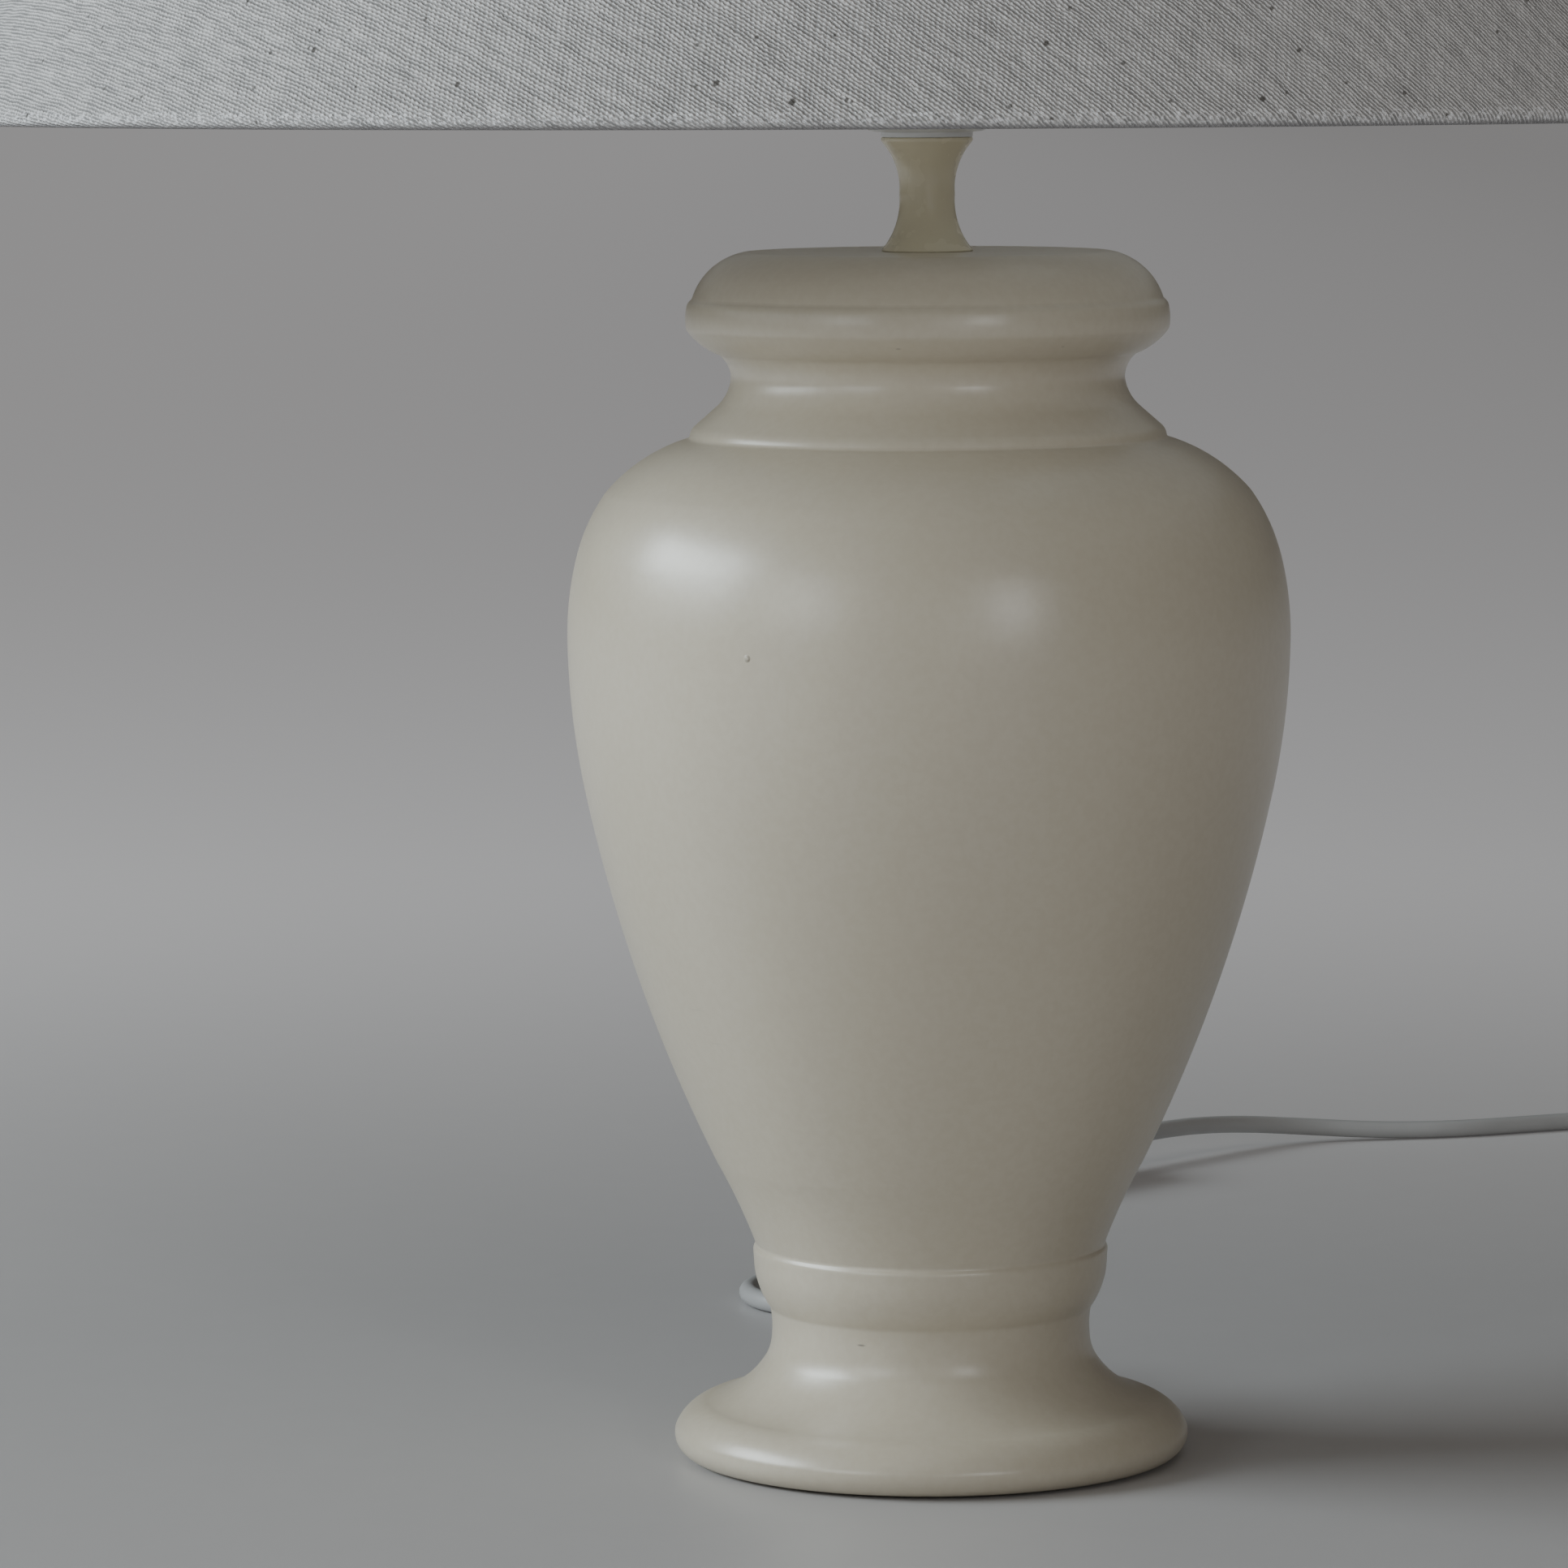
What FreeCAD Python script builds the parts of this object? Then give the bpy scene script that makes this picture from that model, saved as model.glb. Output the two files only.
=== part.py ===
"""Table lamp: a turned ceramic base, a waisted neck spool, an E27 holder and a conical cloth shade.

Frame: millimetres, +Z up, +Y towards the back, origin in the middle of the foot's underside.
"""
import FreeCAD, Part
import Sketcher
import math
import os
import re

from FreeCAD import Vector

# Driving sizes, in millimetres, degrees and counts. A bulge is an arc's height over its chord.
SIZES = {
    # ceramic base, from the foot upwards
    "felt_thickness": 1.0,
    "felt_inset": 5.3,
    "disc_thickness": 3.0,
    "disc_clearance": 0.2,
    "wall": 5.0,
    "foot_radius": 67.3,
    "foot_edge_radius": 70.2,
    "foot_edge_level": 7.6,
    "foot_edge_bulge": 1.28,
    "foot_slope_radius": 61.5,
    "foot_slope_level": 15.1,
    "foot_slope_bulge": 1.55,
    "foot_cove_radius": 45.4,
    "foot_cove_level": 27.5,
    "foot_cove_bulge": 1.93,
    "waist_radius": 43.9,
    "waist_level": 33.2,
    "waist_bulge": 0.3,
    "bead_foot_radius": 44.8,
    "bead_foot_level": 40.5,
    "bead_radius": 48.7,
    "bead_level": 54.5,
    "bead_bulge": 0.68,
    "bead_crease_level": 58.8,
    "stem_radius": 58.7,
    "stem_share": 0.1045,
    "stem_bulge": 0.48,
    "belly_radius": 98.8,
    "belly_share": 0.7528,
    "flank_inset": 5.2,
    "flank_share": 0.5547,
    "flank_bulge": 3.2,
    "belly_bulge": 1.12,
    "shoulder_inset": 2.6,
    "shoulder_share": 0.8564,
    "shoulder_bulge": 0.75,
    "shoulder_top_inset": 10.8,
    "shoulder_top_share": 0.9356,
    "shoulder_top_bulge": 0.9,
    "collar_radius": 65.4,
    "collar_drop": 50.9,
    "collar_bulge": 1.95,
    "collar_lip_radius": 64.0,
    "collar_lip_drop": 47.8,
    "neck_slope_radius": 57.4,
    "neck_slope_drop": 41.8,
    "neck_radius": 53.7,
    "neck_drop": 34.1,
    "neck_bulge": 0.78,
    "throat_radius": 56.9,
    "throat_drop": 27.8,
    "throat_bulge": 0.75,
    "band_radius": 65.8,
    "band_bottom_drop": 21.0,
    "band_top_drop": 15.2,
    "band_bulge": 0.18,
    "band_step_bulge": 0.35,
    "cap_edge_radius": 64.3,
    "cap_edge_drop": 12.8,
    "cap_bulge": 2.7,
    "cap_flat_radius": 50.0,
    "ceramic_height": 331.8,
    "cap_thickness": 5.5,
    # cord outlet at the back of the waist
    "relief_wall": 2.3,
    "relief_clearance": 0.1,
    "relief_tip_wall": 0.7,
    "relief_flange_width": 1.6,
    "relief_flange_thickness": 2.2,
    "relief_seat_curve": 21.0,
    "relief_length": 25.0,
    # stack through the cap
    "nipple_wall": 1.4,
    "cable_clearance": 0.6,
    "nipple_length": 57.0,
    "nipple_rise": 9.0,
    "cable_climb": 72.0,
    "thread_clearance": 0.05,
    "nipple_hole_clearance": 0.6,
    "fibre_radius": 15.0,
    "washer_radius": 12.5,
    "washer_thickness": 1.5,
    "nut_across_flats": 14.0,
    "nut_thickness": 5.0,
    "spool_height": 31.0,
    "spool_end_radius": 12.5,
    "spool_waist_radius": 7.6,
    "spool_lip": 1.0,
    "spool_flare": 1.6,
    # E27 holder
    "holder_radius": 20.0,
    "holder_wall": 1.8,
    "holder_collar": 1.5,
    "dome_height": 10.8,
    "dome_bulge": 3.3,
    "cap_skirt_height": 20.0,
    "sleeve_skirt_height": 27.0,
    "sleeve_height": 54.0,
    "sleeve_step": 0.7,
    "sleeve_lip": 2.0,
    "lip_clearance": 1.4,
    "insert_clearance": 0.2,
    "insert_bottom": 14.5,
    "insert_seat": 29.0,
    "insert_top": 48.0,
    "shell_radius": 14.0,
    "shell_wall": 0.4,
    "shell_top": 50.5,
    "contact_width": 5.0,
    "contact_sheet": 0.6,
    "contact_reach": 9.0,
    "contact_height": 3.0,
    "terminal_spacing": 15.0,
    "terminal_radius": 1.9,
    "terminal_length": 8.0,
    "shade_ring_width": 7.7,
    "shade_ring_thickness": 4.0,
    "lower_ring_level": 35.0,
    "ring_rim_width": 4.7,
    "ring_rim_height": 1.6,
    "ring_gap": 0.1,
    # shade
    "shade_radius": 275.0,
    "shade_height": 230.0,
    "shade_rise": 5.8,
    "shade_angle": 37.3,
    "cloth": 0.6,
    "liner": 0.8,
    "hoop_wire": 1.5,
    "hoop_clearance": 0.05,
    "liner_setback": 3.2,
    "roll_end_angle": 240.0,
    "seam_angle": 3.6,
    "seam_thickness": 0.5,
    "fitter_clearance": 1.3,
    "fitter_width": 10.4,
    "fitter_thickness": 1.6,
    "arm_wire": 1.5,
    "arm_weld": 1.4,
    "arm_count": 3,
    # bulb
    "bulb_radius": 30.0,
    "bulb_clearance": 0.4,
    "bulb_cap_wall": 0.35,
    "bulb_tip_radius": 4.8,
    "bulb_tip_height": 2.0,
    "bulb_insulator_height": 4.0,
    "bulb_cap_height": 25.0,
    "bulb_neck_width": 2.3,
    "bulb_neck_height": 30.0,
    "bulb_neck_bulge": 1.4,
    "bulb_stem_depth": 3.0,
    "bulb_belly_height": 77.0,
    "bulb_glass_wall": 1.0,
    # cord
    "cord_radius": 3.0,
    "cord_lift": 0.1,
    "coil_radius": 44.0,
    "coil_width": 24.0,
    "coil_height": 12.2,
    "coil_x": 288.7,
    "coil_y": 560.7,
    "coil_joint_angle": 100.0,
    "coil_exit_radius": 39.7,
    "coil_exit_level": 9.1,
    # in-line switch
    "switch_length": 62.0,
    "switch_width": 27.0,
    "switch_half_height": 10.5,
    "switch_corner": 9.0,
    "switch_wall": 1.8,
    "switch_heading": 50.0,
    "switch_x": 29.1,
    "switch_y": 459.5,
    "switch_relief": 14.0,
    "switch_relief_wall": 1.6,
    "rocker_length": 21.0,
    "rocker_width": 12.0,
    "rocker_gap": 0.4,
    "rocker_swing": 0.6,
    "window_corner": 1.5,
    "rocker_height": 3.4,
    "rocker_depth": 3.2,
    "rocker_hollow": 0.23,
    "rocker_travel": 14.0,
    "rocker_pin_radius": 1.2,
    "pin_clearance": 0.05,
    "pin_boss": 2.6,
    "screw_radius": 1.5,
    "screw_inset": 9.0,
    "blade_length": 3.6,
    # mains plug
    "plug_width": 30.0,
    "plug_back_width": 13.0,
    "plug_thickness": 13.8,
    "plug_length": 36.0,
    "plug_corner": 3.0,
    "plug_taper": 17.0,
    "plug_relief_length": 22.0,
    "plug_x": 330.0,
    "plug_y": 505.0,
    "pin_radius": 2.0,
    "pin_length": 19.0,
    "pin_spacing": 18.8,
}

# Sizes that follow from others, so that fits and stacks stay together when one of them changes.
FITS = {
    "felt_radius": "foot_radius - felt_inset",
    "disc_radius": "foot_slope_radius - wall - disc_clearance",
    "body_bottom": "bead_crease_level",
    "body_height": "ceramic_height - collar_drop - bead_crease_level",
    "stem_level": "body_bottom + stem_share * body_height",
    "flank_level": "body_bottom + flank_share * body_height",
    "belly_level": "body_bottom + belly_share * body_height",
    "shoulder_level": "body_bottom + shoulder_share * body_height",
    "shoulder_top_level": "body_bottom + shoulder_top_share * body_height",
    "relief_neck_radius": "cord_radius + relief_wall",
    "outlet_radius": "relief_neck_radius + relief_clearance",
    "relief_flange_radius": "relief_neck_radius + relief_flange_width",
    "relief_outer_gap": "relief_flange_radius * relief_flange_radius / relief_seat_curve",
    "relief_inner_gap": "relief_flange_radius * relief_flange_radius / (waist_radius - wall)",
    "relief_root_radius": "relief_neck_radius - relief_clearance",
    "relief_tip_radius": "cord_radius + relief_tip_wall",
    "nipple_bore": "cord_radius + cable_clearance",
    "nipple_radius": "nipple_bore + nipple_wall",
    "sleeve_radius": "holder_radius - sleeve_step",
    "insert_radius": "sleeve_radius - holder_wall - insert_clearance",
    "sleeve_lip_radius": "shell_radius + lip_clearance",
    "shade_ring_radius": "sleeve_radius + shade_ring_width",
    "ring_rim_radius": "sleeve_radius + ring_rim_width",
    "fitter_bore": "sleeve_radius + fitter_clearance",
    "fitter_radius": "fitter_bore + fitter_width",
    "bulb_cap_radius": "shell_radius - shell_wall - bulb_clearance",
    "bulb_neck_radius": "bulb_cap_radius + bulb_neck_width",
    "shade_level": "ceramic_height + spool_height + shade_rise",
    "switch_relief_root": "cord_radius + switch_relief_wall",
    "screw_spacing": "switch_length - 2 * screw_inset",
}

# The cord's route, chosen by hand: each point is (x, y, gap under the cord). Its two ends in each
# length come from the pieces that they run into.
LAMP_SIDE_POINTS = [
    (0, 86.5, 29), (1.5, 107.5, 18), (7, 127, 6.4), (14.6, 145, 0.7), (26.6, 166, 0), (22.4, 190, 0),
    (4, 206, 0), (-19.5, 207.2, 0), (-37, 209.5, 0), (-52.4, 222.8, 0), (-57.8, 242.3, 0),
    (-51.4, 261.6, 0), (-35.4, 274, 0), (-15.2, 275.4, 0), (2.3, 288.1, 0), (9.6, 308.5, 0),
    (5.5, 329.6, 0), (-6, 357, 0), (-17, 384, 1.9), (-13.9, 408.1, 6.4),
]
PLUG_SIDE_POINTS = [
    (79.5, 520, 8.4), (105, 547.5, 6.1), (131, 562.5, 2.7), (160, 568.5, 0.3), (189, 574, 0),
    (220, 588, 0), (251, 600, 0),
]
TAIL_POINTS = [(330.4, 542, 6), (331, 523, 4.3)]
RUN_SHARE = 0.45  # share of the shorter run at a corner that its arc takes up

# The inner cable between the relief and the lamp's axis: each turning point as a share of the way out
# to the wall and a share of the climb to where the cable runs straight up.
CABLE_SHARES = [(0.6, 0.03), (0.27, 0.25), (0.08, 0.6)]

ALIAS = re.compile(r"[a-z]\w*_\w+|\bwall\b|\bcloth\b|\bliner\b")
DOC = FreeCAD.newDocument("table_lamp")
SHEET = DOC.addObject("Spreadsheet::Sheet", "Sizes")
PARTS = []


def fill_sheet():
    """Write every driving size and then every fit into the spreadsheet, one row each."""
    for row, (alias, value) in enumerate(SIZES.items(), start=1):
        SHEET.set(f"A{row}", alias)
        SHEET.set(f"B{row}", str(value))
        SHEET.setAlias(f"B{row}", alias)
    for row, (alias, formula) in enumerate(FITS.items(), start=len(SIZES) + 1):
        SHEET.set(f"A{row}", alias)
        SHEET.set(f"B{row}", "=" + formula)
        SHEET.setAlias(f"B{row}", alias)
    DOC.recompute()


def bound(expression):
    """Return a FreeCAD expression in which each alias is read from the sheet."""
    return ALIAS.sub(lambda match: "Sizes." + match.group(), str(expression))


def size(expression):
    """Return the present value of an expression of sheet aliases."""
    return float(SHEET.evalExpression(bound(expression)))


def keep(part, label):
    """Name a finished sub-part and put it on the list of parts to write."""
    part.Label = label
    PARTS.append(part)
    return part


# ---------------------------------------------------------------- sketched outlines

def plane_of(body, role):
    """Return the body's own origin plane of that role."""
    return next(f for f in body.Origin.OriginFeatures if f.Role == role)


def arc_through(start, end, bulge):
    """Return an arc that bulges to the right of the way from start to end."""
    chord = end - start
    right = Vector(chord.y, -chord.x, 0).normalize()
    return Part.Arc(start, (start + end) / 2 + right * bulge, end)


def outline(body, name, role, corners, offset="0"):
    """Sketch a closed outline on an origin plane, every corner bound to the sheet.

    Each corner is (across, up) or (across, up, bulge): the bulge is that of the arc which leaves it.
    """
    sketch = body.newObject("Sketcher::SketchObject", name)
    sketch.AttachmentSupport = [(plane_of(body, role), "")]
    sketch.MapMode = "FlatFace"
    sketch.setExpression("AttachmentOffset.Base.z", bound(offset))
    points = [Vector(size(corner[0]), size(corner[1]), 0) for corner in corners]
    count = len(corners)
    for index, corner in enumerate(corners):
        after = (index + 1) % count
        start, end = points[index], points[after]
        if len(corner) < 3:
            sketch.addGeometry(Part.LineSegment(start, end))
            continue
        arc = arc_through(start, end, size(corner[2]))
        sketch.addGeometry(arc)
        run = f"({corners[after][0]} - ({corner[0]}))"
        rise = f"({corners[after][1]} - ({corner[1]}))"
        radius = f"(({run}^2 + {rise}^2) / 4 + ({corner[2]})^2) / (2 * abs({corner[2]}))"
        hold(sketch, "Radius", (index,), arc.toShape().Curve.Radius, radius)
    for index, corner in enumerate(corners):
        start_vertex = vertex_at(sketch, index, points[index])
        before = (index - 1) % count
        end_vertex = vertex_at(sketch, before, points[index])
        sketch.addConstraint(Sketcher.Constraint("Coincident", before, end_vertex, index, start_vertex))
        hold(sketch, "DistanceX", (-1, 1, index, start_vertex), points[index].x, corner[0])
        hold(sketch, "DistanceY", (-1, 1, index, start_vertex), points[index].y, corner[1])
    return sketch


def hold(sketch, kind, elements, value, expression):
    """Add a dimension to a sketch and bind it to the sheet."""
    index = sketch.addConstraint(Sketcher.Constraint(kind, *elements, value))
    sketch.setExpression(f"Constraints[{index}]", bound(expression))


def vertex_at(sketch, index, point):
    """Return 1 or 2, whichever end of the geometry lies on the point."""
    start = sketch.getPoint(index, 1)
    end = sketch.getPoint(index, 2)
    return 1 if (start - point).Length < (end - point).Length else 2


def new_body(label):
    """Return an empty body that will be written under that name."""
    return keep(DOC.addObject("PartDesign::Body", label), label)


def turned(label, corners, angle="360"):
    """Return a body turned about the vertical axis from (radius, level) corners."""
    body = new_body(label)
    sketch = outline(body, label + "_profile", "XZ_Plane", corners)
    turn = body.newObject("PartDesign::Revolution", label + "_turn")
    turn.Profile = sketch
    turn.ReferenceAxis = (sketch, ["V_Axis"])
    turn.setExpression("Angle", bound(angle))
    return body


def padded(label, corners, length, level="0", body=None):
    """Return a body with a flat outline padded upwards from a level."""
    body = body or new_body(label)
    sketch = outline(body, label + "_outline", "XY_Plane", corners, level)
    pad = body.newObject("PartDesign::Pad", label + "_pad")
    pad.Profile = sketch
    pad.setExpression("Length", bound(length))
    return body


def pocketed(body, label, corners, depth, level, upwards=False):
    """Cut a flat outline out of a body from a level, downwards unless told otherwise."""
    sketch = outline(body, label + "_outline", "XY_Plane", corners, level)
    pocket = body.newObject("PartDesign::Pocket", label)
    pocket.Profile = sketch
    pocket.Reversed = upwards
    pocket.setExpression("Length", bound(depth))
    return body


def ring_section(inner, outer, bottom, top):
    """Return the corners of a plain rectangular section."""
    return [(outer, bottom), (outer, top), (inner, top), (inner, bottom)]


def rounded_rectangle(length, width, corner, inset="0", middle="0"):
    """Return a centred rounded rectangle's corners, anticlockwise."""
    half_length = f"({length} / 2 - ({inset}))"
    half_width = f"({width} / 2 - ({inset}))"
    round_off = f"({corner} - ({inset}))"
    bulge = f"{round_off} * (1 - sqrt(0.5))"
    right, left = f"{middle} + {half_length}", f"{middle} - {half_length}"
    back, front = f"{half_width}", f"-{half_width}"
    return [
        (f"{right} - {round_off}", front, bulge), (right, f"{front} + {round_off}"),
        (right, f"{back} - {round_off}", bulge), (f"{right} - {round_off}", back),
        (f"{left} + {round_off}", back, bulge), (left, f"{back} - {round_off}"),
        (left, f"{front} + {round_off}", bulge), (f"{left} + {round_off}", front),
    ]


def cylinder(name, radius, length, place=("0", "0", "0"), direction=Vector(0, 0, 1)):
    """Return a Part cylinder from a place along a direction, its sizes bound to the sheet."""
    item = DOC.addObject("Part::Cylinder", name)
    item.setExpression("Radius", bound(radius))
    item.setExpression("Height", bound(length))
    item.Placement.Rotation = FreeCAD.Rotation(Vector(0, 0, 1), direction)
    for axis, value in zip("xyz", place):
        item.setExpression(f"Placement.Base.{axis}", bound(value))
    return item


def cone(name, root, tip, length, place, direction):
    """Return a Part cone from a place along a direction, its sizes bound to the sheet."""
    item = DOC.addObject("Part::Cone", name)
    item.setExpression("Radius1", bound(root))
    item.setExpression("Radius2", bound(tip))
    item.setExpression("Height", bound(length))
    item.Placement.Rotation = FreeCAD.Rotation(Vector(0, 0, 1), direction)
    for axis, value in zip("xyz", place):
        item.setExpression(f"Placement.Base.{axis}", bound(value))
    return item


def joined(name, pieces):
    """Return the fusion of several Part objects."""
    fusion = DOC.addObject("Part::MultiFuse", name)
    fusion.Shapes = pieces
    return fusion


def cut(name, base, tool):
    """Return one Part object less another."""
    item = DOC.addObject("Part::Cut", name)
    item.Base = base
    item.Tool = tool
    return item


# ---------------------------------------------------------------- base

def from_top(drop):
    """Return the level of a place measured down from the ceramic's top."""
    return f"ceramic_height - ({drop})"


def ceramic_base():
    """One hollow slip-cast piece: foot, bead, belly, collar, neck and cap, open underneath."""
    outside = [
        ("foot_radius", "felt_thickness", "foot_edge_bulge"),
        ("foot_edge_radius", "foot_edge_level", "foot_slope_bulge"),
        ("foot_slope_radius", "foot_slope_level", "-foot_cove_bulge"),
        ("foot_cove_radius", "foot_cove_level", "-waist_bulge"),
        ("waist_radius", "waist_level", "-waist_bulge"),
        ("bead_foot_radius", "bead_foot_level", "bead_bulge"),
        ("bead_radius", "bead_level"),
        ("bead_radius", "bead_crease_level", "-stem_bulge"),
        ("stem_radius", "stem_level", "flank_bulge"),
        ("belly_radius - flank_inset", "flank_level", "belly_bulge"),
        ("belly_radius", "belly_level", "shoulder_bulge"),
        ("belly_radius - shoulder_inset", "shoulder_level", "shoulder_top_bulge"),
        ("belly_radius - shoulder_top_inset", "shoulder_top_level", "collar_bulge"),
        ("collar_radius", from_top("collar_drop")),
        ("collar_lip_radius", from_top("collar_lip_drop")),
        ("neck_slope_radius", from_top("neck_slope_drop"), "-neck_bulge"),
        ("neck_radius", from_top("neck_drop"), "-neck_bulge"),
        ("throat_radius", from_top("throat_drop"), "throat_bulge"),
        ("band_radius", from_top("band_bottom_drop"), "band_bulge"),
        ("band_radius", from_top("band_top_drop"), "band_step_bulge"),
        ("cap_edge_radius", from_top("cap_edge_drop"), "cap_bulge"),
        ("cap_flat_radius", "ceramic_height"),
    ]
    hole = "nipple_radius + nipple_hole_clearance"
    inside = [
        (hole, "ceramic_height"),
        (hole, from_top("cap_thickness")),
        ("cap_flat_radius", from_top("cap_thickness")),
        ("band_radius - wall", from_top("band_top_drop")),
        ("band_radius - wall", from_top("band_bottom_drop")),
        ("throat_radius - wall", from_top("throat_drop + wall / 2"), "neck_bulge"),
        ("neck_radius - wall", from_top("neck_drop")),
        ("neck_slope_radius - wall", from_top("neck_slope_drop")),
        ("collar_radius - wall", from_top("collar_drop + wall"), "-collar_bulge"),
        ("belly_radius - shoulder_top_inset - wall", "shoulder_top_level - wall / 2",
         "-shoulder_top_bulge"),
        ("belly_radius - shoulder_inset - wall", "shoulder_level", "-shoulder_bulge"),
        ("belly_radius - wall", "belly_level", "-belly_bulge"),
        ("belly_radius - flank_inset - wall", "flank_level", "-flank_bulge"),
        ("stem_radius - wall", "stem_level"),
        ("bead_radius - wall", "bead_crease_level"),
        ("waist_radius - wall", "waist_level"),
        ("waist_radius - wall", "foot_cove_level"),
        ("disc_radius + disc_clearance - disc_thickness", "foot_slope_level - disc_thickness"),
        ("disc_radius + disc_clearance - disc_thickness", "felt_thickness + disc_thickness"),
        ("disc_radius + disc_clearance", "felt_thickness + disc_thickness"),
        ("disc_radius + disc_clearance", "felt_thickness"),
    ]
    casting = turned("casting", outside + inside)
    PARTS.remove(casting)
    outlet = cylinder("outlet_hole", "outlet_radius", "waist_radius",
                      ("0", "waist_radius / 2", "waist_level"), Vector(0, 1, 0))
    keep(cut("pierced_casting", casting, outlet), "ceramic_base")


def base_fittings():
    """Felt, bottom disc, strain relief in the back wall and the threaded stack under the cap."""
    turned("felt_pad", ring_section("0", "felt_radius", "0", "felt_thickness"))
    turned("bottom_disc", ring_section(
        "0", "disc_radius", "felt_thickness", "felt_thickness + disc_thickness"))
    turned("nipple", ring_section(
        "nipple_bore", "nipple_radius",
        "ceramic_height + spool_height + nipple_rise - nipple_length",
        "ceramic_height + spool_height + nipple_rise"))
    under_cap = from_top("cap_thickness")
    turned("fibre_washer", ring_section(
        "nipple_radius + thread_clearance", "fibre_radius", f"{under_cap} - washer_thickness", under_cap))
    turned("steel_washer", ring_section(
        "nipple_radius + thread_clearance", "washer_radius",
        f"{under_cap} - 2 * washer_thickness", f"{under_cap} - washer_thickness"))
    hexagon = [(f"nut_across_flats / sqrt(3) * cos({60 * turn} * 1 deg)",
                f"nut_across_flats / sqrt(3) * sin({60 * turn} * 1 deg)") for turn in range(6)]
    nut_bottom = f"{under_cap} - 2 * washer_thickness - nut_thickness"
    nut = padded("nut_blank", hexagon, "nut_thickness", nut_bottom)
    PARTS.remove(nut)
    bore = cylinder("nut_bore", "nipple_radius + thread_clearance", "2 * nut_thickness",
                    ("0", "0", f"{nut_bottom} - nut_thickness / 2"))
    keep(cut("bored_nut", nut, bore), "hex_nut")


def strain_relief():
    """Soft bush in the back wall, with a flange each side and a tapered tail round the cord.

    The flanges are flat and the wall is curved, so each stands off by a gap that grows with its size.
    """
    back = Vector(0, 1, 0)
    level = "waist_level"
    face = "waist_radius"
    neck = cylinder("relief_neck", "relief_neck_radius", "wall + relief_inner_gap + relief_outer_gap",
                    ("0", f"{face} - wall - relief_inner_gap", level), back)
    outer = cylinder("relief_outer", "relief_flange_radius", "relief_flange_thickness",
                     ("0", f"{face} + relief_outer_gap", level), back)
    inner = cylinder("relief_inner", "relief_flange_radius", "relief_flange_thickness",
                     ("0", f"{face} - wall - relief_inner_gap - relief_flange_thickness", level), back)
    tail = cone("relief_tail", "relief_root_radius", "relief_tip_radius", "relief_length",
                ("0", face, level), back)
    keep(joined("relief_solid", [neck, outer, inner, tail]), "cord_relief")


def neck_spool():
    """Waisted spool between the cap and the holder, bored for the nipple."""
    foot, top = "ceramic_height", "ceramic_height + spool_height"
    middle = "ceramic_height + spool_height / 2"
    bore = "nipple_radius + thread_clearance"
    turned("neck_spool", [
        ("spool_end_radius", foot),
        ("spool_end_radius", f"{foot} + spool_lip", "-spool_flare"),
        ("spool_waist_radius", middle, "-spool_flare"),
        ("spool_end_radius", f"{top} - spool_lip"),
        ("spool_end_radius", top), (bore, top), (bore, foot),
    ])


# ---------------------------------------------------------------- holder

def above_holder(rise):
    """Return a level measured up from the holder's underside."""
    return f"ceramic_height + spool_height + ({rise})"


def holder():
    """Three-piece E27 holder with its insert, contacts, terminal screws and two shade rings."""
    bore = "nipple_radius + thread_clearance"
    turned("holder_cap", [
        ("spool_end_radius", above_holder("0")),
        ("spool_end_radius", above_holder("holder_collar"), "dome_bulge"),
        ("holder_radius", above_holder("dome_height")),
        ("holder_radius", above_holder("cap_skirt_height")),
        ("holder_radius - holder_wall", above_holder("cap_skirt_height")),
        ("holder_radius - holder_wall", above_holder("dome_height"), "-dome_bulge"),
        ("spool_end_radius - holder_wall", above_holder("holder_collar + holder_wall")),
        (bore, above_holder("holder_collar + holder_wall")), (bore, above_holder("0")),
    ])
    turned("holder_sleeve", [
        ("holder_radius", above_holder("cap_skirt_height")),
        ("holder_radius", above_holder("sleeve_skirt_height")),
        ("sleeve_radius", above_holder("sleeve_skirt_height")),
        ("sleeve_radius", above_holder("sleeve_height")),
        ("sleeve_lip_radius", above_holder("sleeve_height")),
        ("sleeve_lip_radius", above_holder("sleeve_height - sleeve_lip")),
        ("sleeve_radius - holder_wall", above_holder("sleeve_height - sleeve_lip")),
        ("sleeve_radius - holder_wall", above_holder("cap_skirt_height")),
    ])
    turned("holder_insert", [
        ("insert_radius", above_holder("insert_bottom")),
        ("insert_radius", above_holder("insert_top")),
        ("shell_radius + thread_clearance", above_holder("insert_top")),
        ("shell_radius + thread_clearance", above_holder("insert_seat")),
        ("nipple_bore", above_holder("insert_seat")),
        ("nipple_bore", above_holder("insert_bottom")),
    ])
    turned("screw_shell", ring_section(
        "shell_radius - shell_wall", "shell_radius", above_holder("insert_seat"), above_holder("shell_top")))
    centre_contact()
    terminal_level = above_holder("insert_bottom - terminal_length")
    terminals = [cylinder(f"terminal_{side}", "terminal_radius", "terminal_length",
                          (f"{sign} * terminal_spacing / 2", "0", terminal_level))
                 for side, sign in (("left", -1), ("right", 1))]
    keep(joined("terminals", terminals), "terminal_screws")
    shade_ring("shade_ring_lower", above_holder("lower_ring_level"))
    shade_ring("shade_ring_upper", above_holder(
        "lower_ring_level + shade_ring_thickness + fitter_thickness + 2 * ring_gap"))


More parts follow.
